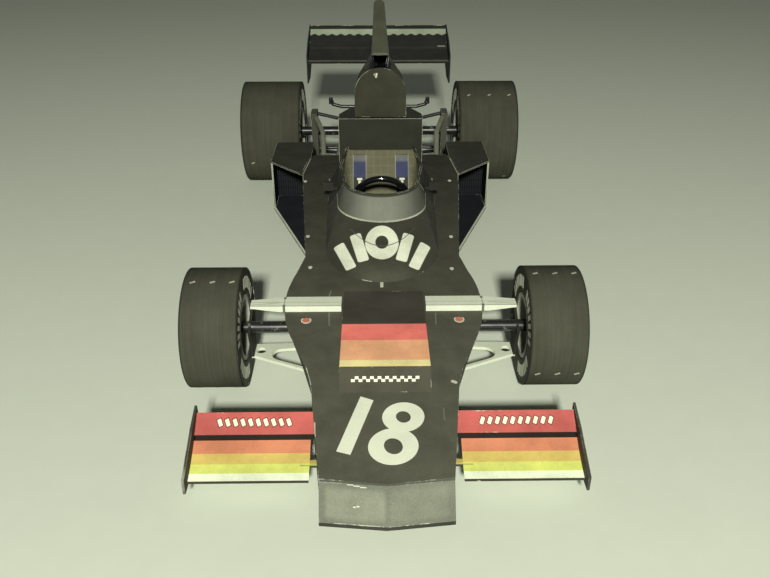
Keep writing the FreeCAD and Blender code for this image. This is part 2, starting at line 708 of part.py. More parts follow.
ahead_of_face = swept_nose([face_back(-3.0), face_back(30.0), (-WIDE, 30.0), (-WIDE, -3.0)], 2.0)
lip_back = lip + size("lip_depth")
ahead_of_floor = swept_nose([(lip_back, 0.0), (lip_back, floor_top + card), (-WIDE, floor_top + card),
                             (-WIDE, 0.0)], 2.0)
keep_shape("floor_pan", tub_block.common(across([(-WIDE, size("ride_height")), (LONG, size("ride_height")),
                                                 (LONG, floor_top), (-WIDE, floor_top)])).cut(ahead_of_floor))



def front_axle_hole(gap):
    """A hole right across the tub, wider all round than the front axle's tube by the gap."""
    return Part.makeCylinder(float(size("axle_radius") + gap), 2 * WIDE, at(-WIDE, 0, front_axle_height),
                             V(1, 0, 0))


side_wall = tub_block.cut(inner_block).common(under_deck).cut(ahead_of_face)
side_wall = side_wall.cut(front_axle_hole(size("glue_gap")))
tail_wall = tail - card
keep_shape_pair("tub_side", side_wall.common(block(at(0, -WIDE, -1), at(WIDE, tail_wall, WIDE))))
keep_shape("rear_bulkhead", side_wall.common(block(at(-WIDE, tail_wall, -1), at(WIDE, LONG, WIDE))))

cockpit_hole = block(at(-size("cockpit_half_width"), bulkhead - size("cockpit_length"), 0),
                     at(size("cockpit_half_width"), bulkhead, WIDE))
deck_sheet = tub_block.common(across(deck_line + underside_line[::-1]))
deck_sheet = deck_sheet.cut(front_axle_hole(size("axle_deck_gap")))
keep_shape("deck", deck_sheet.cut(ahead_of_face).cut(cockpit_hole))

face_top = lip + size("nose_rake")
nose_face = [(lip, floor_top), (face_top, size("nose_height")), (face_top + face_depth, size("nose_height")),
             (lip + face_depth, floor_top)]
keep_shape("nose_face", swept_nose(nose_face))
lip_low = floor_top - size("lip_height")
nose_lip = [(lip, lip_low), (lip, floor_top), (lip_back, floor_top), (lip_back, lip_low)]
keep_shape("nose_lip", swept_nose(nose_lip))

ramp_outline = [(size("ramp_back"), deck_top(size("ramp_back"))), (size("ramp_back"), ramp_top),
                (size("ramp_front"), ramp_top), (size("ramp_toe"), deck_top(size("ramp_toe"))),
                (size("scuttle_station"), scuttle)]
ramp_half = size("ramp_half_width")
keep("nose_ramp", prism("nose_ramp", "YZ_Plane", ramp_outline, -ramp_half, ramp_half))


# ---------------------------------------------------------------------------------------------
# Cockpit: cowl, windscreen and sides round an open cockpit with seat, belts and steering
# ---------------------------------------------------------------------------------------------
def horseshoe(front, radius, rear_half, height, inset=0.0, reach=0.0):
    """A closed level wire: a half round front and sides running back to the cowl's rear edge."""
    radius, rear_half = float(radius) - inset, float(rear_half) - inset
    front, rear = float(front) + inset, float(cowl_rear) + reach
    left, right = at(radius, front + radius, height), at(-radius, front + radius, height)
    back_left, back_right = at(rear_half, rear, height), at(-rear_half, rear, height)
    return Part.Wire([Part.Arc(right, at(0, front, height), left).toShape(),
                      Part.LineSegment(left, back_left).toShape(),
                      Part.LineSegment(back_left, back_right).toShape(),
                      Part.LineSegment(back_right, right).toShape()])


def card_shell(low, high):
    """A thin wall between two horseshoes given as (front, radius, rear half width, height)."""
    wall = float(size("shell_wall"))
    outer = ruled(horseshoe(*low), horseshoe(*high))
    inner = ruled(horseshoe(*low, inset=wall, reach=1.0), horseshoe(*high, inset=wall, reach=1.0))
    return outer.cut(inner)


cowl_foot = (size("cowl_front"), size("cowl_radius"), size("cowl_rear_half"), cowl_base)
screen_foot = (cowl_rear - size("screen_length"), size("screen_radius"), size("screen_rear_half"),
               size("screen_base"))
screen_rim = (cowl_rear - size("screen_top_length"), size("screen_top_radius"), size("rim_front_half"),
              size("screen_top"))
keep_shape("cowl", card_shell(cowl_foot, screen_foot).cut(below_deck))
screen_end = cowl_rear - size("screen_lean")
lean_line = [(cowl_rear, size("screen_base")), (screen_end, size("screen_top")), (screen_end, WIDE)]
behind_screen = across(lean_line + [(LONG, WIDE), (LONG, size("screen_base"))])
keep_shape("windscreen", card_shell(screen_foot, screen_rim).cut(behind_screen))


def side_section(foot, middle, rim, rim_height):
    """The outside of the card beside the cockpit, from its foot up to the rim."""
    return [(foot, cowl_base), (middle, size("screen_base")), (rim, rim_height)]


def walled(section):
    """The same line with the wall's thickness inside it."""
    return section + [(x - size("shell_wall"), z) for x, z in reversed(section)]


side_front = cowl_rear - size("side_lap")
tuck = 0.4          # the sides' front end lies inside the cowl's rear end by this much
rim_middle = cowl_rear + size("rim_middle_gap")
front_section = side_section(size("cowl_rear_half") - tuck, size("screen_rear_half") - tuck,
                             size("rim_front_half") - tuck, size("screen_top") - tuck)
rear_section = side_section(size("cowl_rear_half"), size("screen_rear_half") + 0.7, size("rim_rear_half"),
                            size("rim_height"))
middle_section = side_section(size("cowl_rear_half"), size("screen_rear_half") + 0.4,
                              size("rim_middle_half"), size("rim_middle_height"))
side_middle = section_wire(walled(middle_section), rim_middle)
side_panel = ruled(section_wire(walled(front_section), side_front), side_middle)
side_panel = side_panel.fuse(ruled(side_middle, section_wire(walled(rear_section), bulkhead)))
behind_cowl = across([(cowl_rear, 0.0)] + lean_line + [(LONG, WIDE), (LONG, 0.0)])
keep_shape_pair("cockpit_side", side_panel.common(behind_cowl).cut(below_deck))

seat_top = size("rim_height") - size("seat_drop")
seat_fold = bulkhead - size("seat_reach")
seat_back = bulkhead - 0.3
seat_front = seat_fold - size("seat_base")
seat_wall = 0.5
seat_outline = [(seat_back, seat_top), (seat_back - seat_wall, seat_top),
                (seat_fold - 0.2, size("seat_low") + seat_wall),
                (seat_front, size("seat_low") + size("seat_base_rise") + seat_wall),
                (seat_front, size("seat_low") + size("seat_base_rise")), (seat_fold, size("seat_low"))]
keep("seat", prism("seat", "YZ_Plane", seat_outline, -size("seat_half_width"), size("seat_half_width")))

back_lean = (seat_back - seat_wall - seat_fold + 0.2) / (seat_top - size("seat_low") - seat_wall)


def seat_face(height):
    """Station of the seat back's front side at a height."""
    return seat_fold - 0.2 + back_lean * (height - size("seat_low") - seat_wall)


def shoulder_belt(label, side):
    high = seat_top - size("belt_drop")
    low = high - size("belt_length")
    outline = [(seat_face(high), high), (seat_face(high) - size("belt_thickness"), high),
               (seat_face(low) - size("belt_thickness"), low), (seat_face(low), low)]
    middle, half = size("belt_half_place"), size("belt_width") / 2
    return prism(label, "YZ_Plane", outline, middle - half, middle + half, side)


keep_both("seat_belts", shoulder_belt)

dash_face = bulkhead - size("dash_gap")
dash_half = size("screen_radius") - 1.4
dash_top = size("screen_base") + 1.7
dash_outline = mirrored_section([(dash_half, size("dash_low")), (dash_half, size("dash_shoulder")),
                                 (dash_half - 2.2, dash_top - 0.6), (3.0, dash_top)])
keep("dashboard", prism("dashboard", "XZ_Plane", dash_outline, dash_face, dash_face + card))

steering_station = bulkhead - size("steering_setback")


def steering_ring():
    """Wire ring, middle and three spokes, drawn flat and then leant."""
    ring = doc.addObject("Part::Torus", "steering_ring")
    bind(ring, "Radius1", size("steering_radius"))
    bind(ring, "Radius2", size("steering_wire"))
    middle = doc.addObject("Part::Cylinder", "steering_middle")
    bind(middle, "Radius", size("steering_hub"))
    bind(middle, "Height", size("spoke_thickness"))
    place(middle, 0.0, 0.0, -size("spoke_thickness") / 2)
    spokes = []
    for turn in (0.0, 90.0, 180.0):
        spoke = doc.addObject("Part::Box", "steering_spoke")
        bind(spoke, "Length", size("steering_radius"))
        bind(spoke, "Width", size("spoke_width"))
        bind(spoke, "Height", size("spoke_thickness"))
        spoke.Placement = FreeCAD.Placement(V(0, 0, -float(size("spoke_thickness")) / 2),
                                            FreeCAD.Rotation(V(0, 0, 1), turn))
        spokes.append(spoke)
    wheel = doc.addObject("Part::MultiFuse", "steering_wheel")
    wheel.Shapes = [ring, middle] + spokes
    return wheel


steering_wheel = keep("steering_wheel", steering_ring())
steering_turn = FreeCAD.Rotation(V(1, 0, 0), float(size("steering_tilt")) - 90)
steering_wheel.Placement = FreeCAD.Placement(V(), steering_turn)
place(steering_wheel, 0.0, front_axle_y + steering_station, size("steering_height"))
doc.recompute()

tilt = math.radians(float(size("steering_tilt")))
shaft_way = V(0, -math.cos(tilt), -math.sin(tilt))
shaft_start = at(0, steering_station, size("steering_height"))
shaft_start += shaft_way * float(size("spoke_thickness") / 2)
shaft = Part.makeCylinder(float(size("column_radius")), WIDE, shaft_start, shaft_way)
keep_shape("steering_column", shaft.common(block(at(-WIDE, dash_face + card, 0), at(WIDE, LONG, WIDE))))

mirror_station = bulkhead - size("mirror_gap")
mirror_low = size("mirror_low")
stalk_inner = size("mirror_inner") - 1.5
mirror_rear = mirror_station + size("mirror_deep")
housing = block(at(size("mirror_inner"), mirror_station, mirror_low),
                at(size("mirror_outer"), mirror_rear, mirror_low + size("mirror_tall")))
stalk = block(at(stalk_inner, mirror_station + 0.2, mirror_low + 0.2),
              at(size("mirror_inner") + 0.3, mirror_rear - 0.2, mirror_low + 0.8))
beside_mirrors = ruled(section_wire(mirrored_section(front_section), side_front),
                       section_wire(mirrored_section(middle_section), rim_middle))
keep_shape_both("mirrors", housing.fuse(stalk).cut(beside_mirrors))


# ---------------------------------------------------------------------------------------------
# Headrest, engine cover and airbox
# ---------------------------------------------------------------------------------------------
box_half, spine_half = size("headrest_half_width"), size("spine_half_width")
shelf_end = bulkhead + size("headrest_shelf")
headrest_outline = [(box_half, bulkhead), (box_half, shelf_end), (spine_half, headrest_end),
                    (-spine_half, headrest_end), (-box_half, shelf_end), (-box_half, bulkhead)]
keep("headrest_box", prism("headrest_box", "XY_Plane", headrest_outline, size("deck_height"), box_top))

cover_tail_section = mirrored_section([(2.2, 19.0), (2.2, 25.0), (1.4, 27.0)])
cover = ruled(section_wire(mirrored_section([(spine_half, size("deck_height")), (spine_half, box_top - 3.0),
                                             (spine_half - 2.4, box_top)]), headrest_end),
              section_wire(cover_tail_section, cover_tail))
keep_shape("engine_cover", cover)


def bell_wire(station, half, base, centre):
    """An arched section: straight sides and a half round top."""
    half, centre = float(half), float(centre)
    low_left, low_right = at(half, station, base), at(-half, station, base)
    left, right = at(half, station, centre), at(-half, station, centre)
    edges = [Part.LineSegment(low_right, low_left), Part.LineSegment(low_left, left),
             Part.Arc(left, at(0, station, centre + half), right), Part.LineSegment(right, low_right)]
    return Part.Wire([edge.toShape() for edge in edges])


bell_face = bulkhead + size("bell_setback")
bell_plate = Part.Face(bell_wire(bell_face, size("bell_half_width"), box_top, bell_centre))
keep_shape("headrest_plate", bell_plate.extrude(V(0, float(card), 0)))

fairing_half = size("bell_half_width") - size("bell_edge")
tail_half = size("airbox_tail_half")
fairing_middle = bell_wire(headrest_end, fairing_half - 0.2, box_top, bell_centre + 0.2)
fairing = ruled(bell_wire(bell_face + card, fairing_half, box_top, bell_centre), fairing_middle)
fairing_tail = bell_wire(airbox_tail, tail_half, box_top - 4.0, bell_centre + 2.6)
fairing = fairing.fuse(ruled(fairing_middle, fairing_tail))

intake = bulkhead + size("intake_setback")
intake_half, crest_half = size("intake_half_width"), size("crest_half_width")
duct_base = bell_centre + 3.2
duct_foot = 0.65         # the duct's foot is narrower than its roof by this share
roof_corner = 0.6        # folded edge along the roof


def duct_section(half, top):
    """A slim duct's cross section with its upper corners cut off."""
    return mirrored_section([(half * duct_foot, duct_base), (half, top - roof_corner),
                             (half - roof_corner, top)])


def duct_wire(station, half, top):
    return section_wire(duct_section(half, top), station)


duct = ruled(duct_wire(intake, intake_half, intake_top), duct_wire(crest, crest_half, crest_height))
duct = duct.fuse(ruled(duct_wire(crest, crest_half, crest_height),
                       duct_wire(airbox_tail, tail_half, duct_base + 4.0)))
mouth_top = intake_top - 0.6
mouth_section = mirrored_section([(intake_half - 1.1, mouth_top - 3.4), (intake_half - card, mouth_top)])
mouth = lengthwise(mouth_section, intake - 2.0, intake + 8.0)
below_box_top = upright_prism(headrest_outline, 0.0, box_top)
keep_shape("airbox", fairing.fuse(duct).cut(mouth).cut(cover).cut(below_box_top))


# ---------------------------------------------------------------------------------------------
# Side pods with their radiators
# ---------------------------------------------------------------------------------------------
pod_half, hip_half = size("pod_half_width"), size("hip_half_width")
pod_inner = hip_half - size("pod_inset")
pod_low, pod_top = size("pod_floor"), size("pod_height")
lap_front = tail - size("pod_lap")
floor_front = hip - size("pod_floor_reach")
roof = upright_prism([(hip_half, hip), (pod_half, pod_front), (pod_half, pod_rear), (pod_inner, pod_rear),
                      (pod_inner, lap_front), (hip_half - 2.6, hip)], pod_top - card, pod_top)
pod_base = upright_prism([(hip_half - 3.0, floor_front), (pod_half, pod_front), (pod_half, pod_rear),
                          (pod_inner, pod_rear), (pod_inner, lap_front), (hip_half - 5.0, hip - 4.0),
                          (hip_half - 6.0, floor_front)], pod_low, pod_low + card)
outer_wall = block(at(pod_half - card, pod_front, pod_low), at(pod_half, pod_rear, pod_top))
inner_wall = block(at(pod_inner, lap_front, pod_low), at(pod_inner + card, pod_rear, pod_top))
keep_shape_pair("side_pod", roof.fuse([pod_base, outer_wall, inner_wall]).cut(tub_block))

core_rear = pod_rear - size("radiator_setback")


def radiator(label, side):
    return bound_box(label, (pod_inner + card, core_rear - size("radiator_thickness"), pod_low + card),
                     (pod_half - card, core_rear, pod_top - card), side)


keep_both("radiators", radiator)


# ---------------------------------------------------------------------------------------------
# Engine, gearbox and exhausts
# ---------------------------------------------------------------------------------------------
block_half, vee_half = size("block_half_width"), size("vee_half_width")
engine_joint, engine_top = size("engine_joint"), size("engine_top")
block_outline = mirrored_section([(size("sump_half_width"), size("engine_low")), (block_half, engine_joint),
                                  (vee_half, engine_top)])
keep("engine_block", prism("engine_block", "XZ_Plane", block_outline, tail, engine_rear))

head_outline = [(block_half, engine_joint), (block_half + size("head_out"), engine_joint + size("head_rise")),
                (vee_half * 2, engine_top + size("head_top_rise")), (vee_half, engine_top)]
head_front, head_rear = tail + size("head_margin"), engine_rear - size("head_margin")


def cylinder_head(label, side):
    return prism(label, "XZ_Plane", head_outline, head_front, head_rear, side)


keep_both("cylinder_heads", cylinder_head)

gearbox_high = rear_axle_height + size("gearbox_top")
gearbox_outline = [(engine_rear, size("gearbox_low")), (engine_rear, gearbox_high - 1.4),
                   (engine_rear + 4.0, gearbox_high), (gearbox_rear, gearbox_high - 1.0),
                   (gearbox_rear, size("gearbox_low") + 2.5)]
gearbox_half = size("gearbox_half_width")
gearbox = keep("gearbox", prism("gearbox", "YZ_Plane", gearbox_outline, -gearbox_half, gearbox_half))
bore(gearbox, rear_axle, rear_axle_height, size("rear_axle_radius") + size("glue_gap"), gearbox_half * 4)

pipe_height, pipe_half = size("pipe_height"), size("pipe_half")
exhaust = rod([at(pipe_half, tail + 3.0, pipe_height), at(pipe_half, engine_rear + 3.0, pipe_height),
               at(size("pipe_rear_half"), engine_rear + 16.0, pipe_height),
               at(size("pipe_rear_half"), engine_rear + 30.0, pipe_height + 1.4)], size("pipe_radius"))
for port in range(4):
    station = tail + 4.2 + size("port_pitch") * port
    port_pipe = Part.makeCylinder(float(size("port_radius")), 2.6, at(pipe_half, station, pipe_height),
                                  V(-0.62, 0, 0.78))
    exhaust = exhaust.fuse(port_pipe)
keep_shape_pair("exhaust", exhaust.cut(lengthwise(head_outline, tail, engine_rear)))


# ---------------------------------------------------------------------------------------------
# Front wing
# ---------------------------------------------------------------------------------------------
def cambered(front, rear, sag, thickness):
    """A wing section between two (station, z) edges, hollow on top, as a face at x = 0."""
    nose_point, rear_point = at(0, *front), at(0, *rear)
    middle = (nose_point + rear_point) * 0.5
    upper = Part.Arc(nose_point, middle - V(0, 0, sag), rear_point).toShape()
    lower = Part.Arc(nose_point, middle - V(0, 0, sag + thickness), rear_point).toShape()
    return Part.Face(Part.Wire(Part.sortEdges([upper, lower])[0]))


span_end = size("wing_half_span")
span = V(float(span_end - card), 0, 0)
wing_front, wing_front_height = size("wing_front"), size("wing_front_height")
wing_rear, wing_rear_height = wing_front + size("wing_chord"), wing_front_height + size("wing_rise")
flap_front, flap_front_height = wing_rear + size("slot_gap"), wing_rear_height + size("slot_gap")
flap_rear = flap_front + size("flap_chord")
flap_rear_height = deck_top(flap_rear) - size("flap_drop")
main_plane = cambered((wing_front, wing_front_height), (wing_rear, wing_rear_height), 0.25, 0.75)
wing_root, plane_middle = size("wing_root"), (wing_front_height + wing_rear_height) / 2
spar = block(at(0, wing_front + 2.8, plane_middle - 0.85),
             at(wing_root + size("spar_reach"), wing_front + 4.0, plane_middle - 0.4))
inboard = block(at(-WIDE, -WIDE, 0), at(wing_root, WIDE, WIDE))
keep_shape_pair("front_wing", main_plane.extrude(span).cut(inboard).fuse(spar).cut(tub_block))
flap = cambered((flap_front, flap_front_height), (flap_rear, flap_rear_height), 0.1, 0.45)
keep_shape_both("front_flaps", flap.extrude(span).cut(tub_block))

plate_front, plate_rear = wing_front - size("plate_front_reach"), flap_rear + size("plate_rear_reach")
plate_low = size("plate_low")
plate_outline = [(plate_front, plate_low), (plate_front, wing_front_height + 1.8),
                 (wing_rear, wing_rear_height + 2.3), (plate_rear, flap_rear_height + 0.9),
                 (plate_rear, plate_low + 2.4), (wing_rear - 1.5, plate_low)]


def front_endplate(label, side):
    return prism(label, "YZ_Plane", plate_outline, span_end - card, span_end, side)


keep_both("front_endplates", front_endplate)


# ---------------------------------------------------------------------------------------------
# Front suspension: upright, faired upper arm and pierced lower wishbone on each side
# ---------------------------------------------------------------------------------------------
front_side = size("front_track") / 2 - size("front_tyre_width") / 2 - size("upright_gap")
upright_in = front_side - size("upright_thickness")
arm_top = scuttle + size("arm_rise")
bone_low = size("wishbone_height")
bone_top = bone_low + size("wishbone_thickness")
arm_front, arm_rear = size("arm_front"), size("arm_front") + size("arm_chord")
arm_end_low, arm_end_rear = arm_top - size("arm_end_thickness"), arm_front + size("arm_end_chord")
upright_outline = [(-0.6, bone_top), (3.2, bone_top), (3.4, front_axle_height), (arm_end_rear - 0.2, arm_end_low),
                   (arm_front + 0.2, arm_end_low), (-2.4, front_axle_height)]


def front_upright(label, side):
    body = prism(label, "YZ_Plane", upright_outline, upright_in, front_side, side)
    bore(body, 0.0, front_axle_height, size("axle_radius") + size("glue_gap"), size("upright_thickness") * 2)
    return body


keep_both("front_uprights", front_upright)



def arm_section(x, rear, low):
    """The upper arm's fairing where it crosses a plane beside the middle."""
    return Part.makePolygon([at(x, arm_front, low), at(x, arm_front, arm_top), at(x, rear, arm_top),
                             at(x, rear, low), at(x, arm_front, low)])


arm_taper = size("shoulder_half_width") - 0.6        # the fairing narrows outward from here
arm = ruled(arm_section(ramp_half + size("arm_ramp_gap"), arm_rear, scuttle),
            arm_section(arm_taper, arm_rear, scuttle),
            arm_section(upright_in, arm_end_rear, arm_end_low),
            arm_section(front_side, arm_end_rear, arm_end_low))
keep_shape_pair("upper_arm", arm.cut(below_deck))

bone = upright_prism([(10.0, -6.9), (10.0, 4.2), (front_side, 3.7), (front_side, 0.0)], bone_low, bone_top)
hole_radius, window_radius = size("wishbone_hole_radius"), size("wishbone_window_radius")
bone_hole = Part.makeCylinder(float(hole_radius), WIDE, at(front_side - hole_radius - 0.65, 1.5, 0), V(0, 0, 1))
window_x = size("shoulder_half_width") + 0.5        # middle of its round outer end
bone_window = Part.makeCylinder(float(window_radius), WIDE, at(window_x, 0.1, 0), V(0, 0, 1))
bone_window = bone_window.fuse(upright_prism([(9.0, -6.6), (window_x + window_radius * 0.43, -1.62),
                                              (window_x, 0.1 + float(window_radius)), (9.0, 3.2)], 0, WIDE))
keep_shape_pair("lower_wishbone", bone.cut(bone_hole).cut(bone_window).cut(tub_block))


# ---------------------------------------------------------------------------------------------
# Rear suspension
# ---------------------------------------------------------------------------------------------
rear_side = size("rear_track") / 2 - size("rear_tyre_width") / 2
rear_out = rear_side - size("rear_upright_gap")
rear_in = rear_out - size("rear_upright_thickness")
upright_top = rear_axle_height + size("rear_upright_rise")
upright_foot = size("rear_upright_low")
rear_upright_outline = [(rear_axle - 2.2, upright_foot), (rear_axle + 2.2, upright_foot),
                        (rear_axle + 2.6, rear_axle_height), (rear_axle + 1.6, upright_top),
                        (rear_axle - 3.6, upright_top), (rear_axle - 2.8, rear_axle_height)]


def rear_upright(label, side):
    body = prism(label, "YZ_Plane", rear_upright_outline, rear_in, rear_out, side)
    bore(body, rear_axle, rear_axle_height, size("rear_axle_radius") + size("glue_gap"),
         size("rear_upright_thickness") * 2)
    return body


keep_both("rear_uprights", rear_upright)

behind_uprights = across(rear_upright_outline, rear_in, WIDE)
gearbox_space = across(gearbox_outline, -gearbox_half, gearbox_half)
rod_end = rear_in + 0.3
rod_bend = pod_inner - size("rod_inset")
links = {      # rods of the left side: points from the middle outward as (x, station, z)
    "rear_upper_links": [[(3.0, rear_axle + 2.2, gearbox_high - 1.0),
                          (rod_end, rear_axle + 0.9, upright_top - 1.2)]],
    "rear_lower_arms": [[(3.0, rear_axle + 1.5, 9.0), (rod_end, rear_axle + 1.5, 8.4)],
                        [(3.0, engine_rear + 1.0, 9.0), (rod_end, rear_axle - 1.0, 8.4)]],
    "radius_rods": [[(rod_bend - 0.9, tail - 0.5, size("deck_height") - 1.4),
                     (rod_bend, pod_rear + size("rod_bend_gap"), upright_top - 2.2),
                     (rod_end, rear_axle - 2.6, upright_top - 1.6)]],
}
link_radii = {"radius_rods": size("radius_rod_radius")}
for label, routes in links.items():
    radius = link_radii.get(label, size("link_radius"))
    rods = [rod([at(*point) for point in route], radius) for route in routes]
    rods = rods[0].fuse(rods[1:]) if len(rods) > 1 else rods[0]
    keep_shape_both(label, rods.cut(gearbox_space).cut(behind_uprights).cut(tub_block))

bar_station = rear_axle + 3.0
bar_high = rear_axle_height + size("bar_height")
bar_end = rear_in - 3.8
bar_half = rod([at(0, bar_station, bar_high), at(bar_end - 3.2, bar_station, bar_high),
                at(bar_end - 0.6, bar_station, bar_high + 0.7), at(bar_end, bar_station, bar_high + 2.5)],
               size("bar_radius"))
drop_link = Part.makeCylinder(0.6, 1.8, at(bar_end, bar_station, bar_high + 0.9), V(0, 0, 1))
bar_stand = Part.makeCylinder(0.45, float(bar_high - gearbox_high) + 2.0,
                              at(2.4, bar_station, gearbox_high - 2.0), V(0, 0, 1))
bar_half = bar_half.fuse([drop_link, bar_stand])
keep_shape("anti_roll_bar", bar_half.fuse(to_right(bar_half)).cut(gearbox_space))


# ---------------------------------------------------------------------------------------------
# Rear wing on its post
# ---------------------------------------------------------------------------------------------
rear_edge = wing_end - size("rear_wing_inset")
rear_front = rear_edge - size("rear_wing_chord")
wing_low = size("rear_wing_height")
wing_high = wing_low + size("rear_wing_rise")
rear_half = size("rear_wing_half_span") - card
hollow = size("rear_wing_hollow")
keep("rear_wing", prism("rear_wing", "YZ_Plane", [(rear_front, wing_low), (rear_edge, wing_high)], -rear_half,
                        rear_half, sags={0: hollow, 1: -(hollow + size("rear_wing_thickness"))}))
rear_plate_outline = [(rear_front - 1.2, wing_low - 6.0), (rear_front - 1.2, wing_low + 2.5),
                      (rear_front + 6.0, wing_high - 2.6), (wing_end, wing_high + 0.2),
                      (wing_end, wing_low - 1.5), (rear_front + 8.0, wing_low - 6.0)]


def rear_endplate(label, side):
    return prism(label, "YZ_Plane", rear_plate_outline, rear_half, rear_half + card, side)


keep_both("rear_endplates", rear_endplate)

post = across([(rear_axle + 5.5, gearbox_high - 2.0), (gearbox_rear, gearbox_high - 2.0),
               (rear_front + 11.5, wing_low + 7.0), (rear_front + 5.0, wing_low + 7.0)],
              -size("post_thickness") / 2, size("post_thickness") / 2)
post_top = wing_low - 1.2      # inside the wing's thickness, below its chord line
above_wing = across([(rear_front, post_top), (rear_edge, post_top + size("rear_wing_rise")),
                     (rear_edge, WIDE), (rear_front, WIDE)])
keep_shape("wing_post", post.cut(nodes["rear_wing"].Shape).cut(above_wing).cut(gearbox_space))


# ---------------------------------------------------------------------------------------------
# Every object is checked, then every sub-part is written
# ---------------------------------------------------------------------------------------------
doc.recompute()
failed = {item.Label for item in doc.Objects if {"Invalid", "Error"} & set(item.State)}
for label, piece in nodes.items():
    shape = piece.Shape
    if shape.isNull() or not shape.isValid() or not shape.Solids:
        failed.add(label)
if failed:
    raise RuntimeError("these did not build: " + ", ".join(sorted(failed)))

os.makedirs("parts", exist_ok=True)
for label, piece in nodes.items():
    piece.Shape.exportStep("parts/%s.step" % label)
    box = piece.Shape.BoundBox
    print("%-22s %2d solid %9.2f mm3  x %7.2f %7.2f  y %7.2f %7.2f  z %6.2f %6.2f" % (
        label, len(piece.Shape.Solids), piece.Shape.Volume, box.XMin, box.XMax, box.YMin, box.YMax,
        box.ZMin, box.ZMax))
print("%d sub-parts" % len(nodes))
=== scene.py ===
"""Looks, lamp and camera for a card scale model of an open wheel racing car.

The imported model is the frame: its pieces stay where they are and take a finish each, the tyres are
rolled anew from card strip, and prints, studs, buckles and other small pieces are laid on them.
Lengths in the classes are in millimetres; they become metres when a mesh or a material is made.
"""

import logging
import math
from dataclasses import dataclass, field
from enum import Enum
from typing import Sequence

import bmesh
import bpy
from mathutils import Matrix, Vector
from mathutils.bvhtree import BVHTree


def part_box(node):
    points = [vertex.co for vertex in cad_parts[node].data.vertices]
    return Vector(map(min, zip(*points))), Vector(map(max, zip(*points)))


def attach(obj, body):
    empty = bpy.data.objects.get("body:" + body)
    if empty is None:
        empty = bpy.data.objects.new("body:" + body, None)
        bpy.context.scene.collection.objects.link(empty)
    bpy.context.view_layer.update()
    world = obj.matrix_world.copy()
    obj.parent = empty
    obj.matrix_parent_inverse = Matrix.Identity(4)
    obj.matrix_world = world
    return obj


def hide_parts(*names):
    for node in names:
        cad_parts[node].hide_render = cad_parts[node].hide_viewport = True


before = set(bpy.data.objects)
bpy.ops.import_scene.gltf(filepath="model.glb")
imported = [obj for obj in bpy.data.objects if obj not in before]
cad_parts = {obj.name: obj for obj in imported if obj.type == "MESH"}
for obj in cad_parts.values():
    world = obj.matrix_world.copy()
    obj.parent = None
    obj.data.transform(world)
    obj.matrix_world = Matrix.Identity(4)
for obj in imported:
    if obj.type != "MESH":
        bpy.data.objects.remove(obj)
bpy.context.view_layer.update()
log = logging.getLogger("card_car")

MM = 0.001
FULL_TURN = 2 * math.pi
Rgb = tuple[float, float, float]
Spot = tuple[float, float]
Point = tuple[float, float, float]
# A smooth step: where it starts, where it ends, and its value before and after.
Fade = tuple[float, float, float, float]
Node = bpy.types.Node
Socket = bpy.types.NodeSocket
Ink = Rgb | Socket

BLACK: Rgb = (0.066, 0.061, 0.050)
CORE: Rgb = (0.62, 0.64, 0.53)
CREAM: Rgb = (0.80, 0.82, 0.68)
LINE: Rgb = (0.30, 0.30, 0.25)
CHASSIS = "chassis"
PLAIN_SLOT = "black_card"


class Sheet(Enum):
    """How a card piece lies, which says what faces of it are cut through the sheet."""

    FOLDED = (0.0, 0.0, 0.0)
    LEVEL = (0.0, 0.0, 1.0)
    LENGTHWISE = (1.0, 0.0, 0.0)
    CROSSWISE = (0.0, 1.0, 0.0)


class Side(Enum):
    """The car's sides, by the sign of x."""

    LEFT = 1
    RIGHT = -1


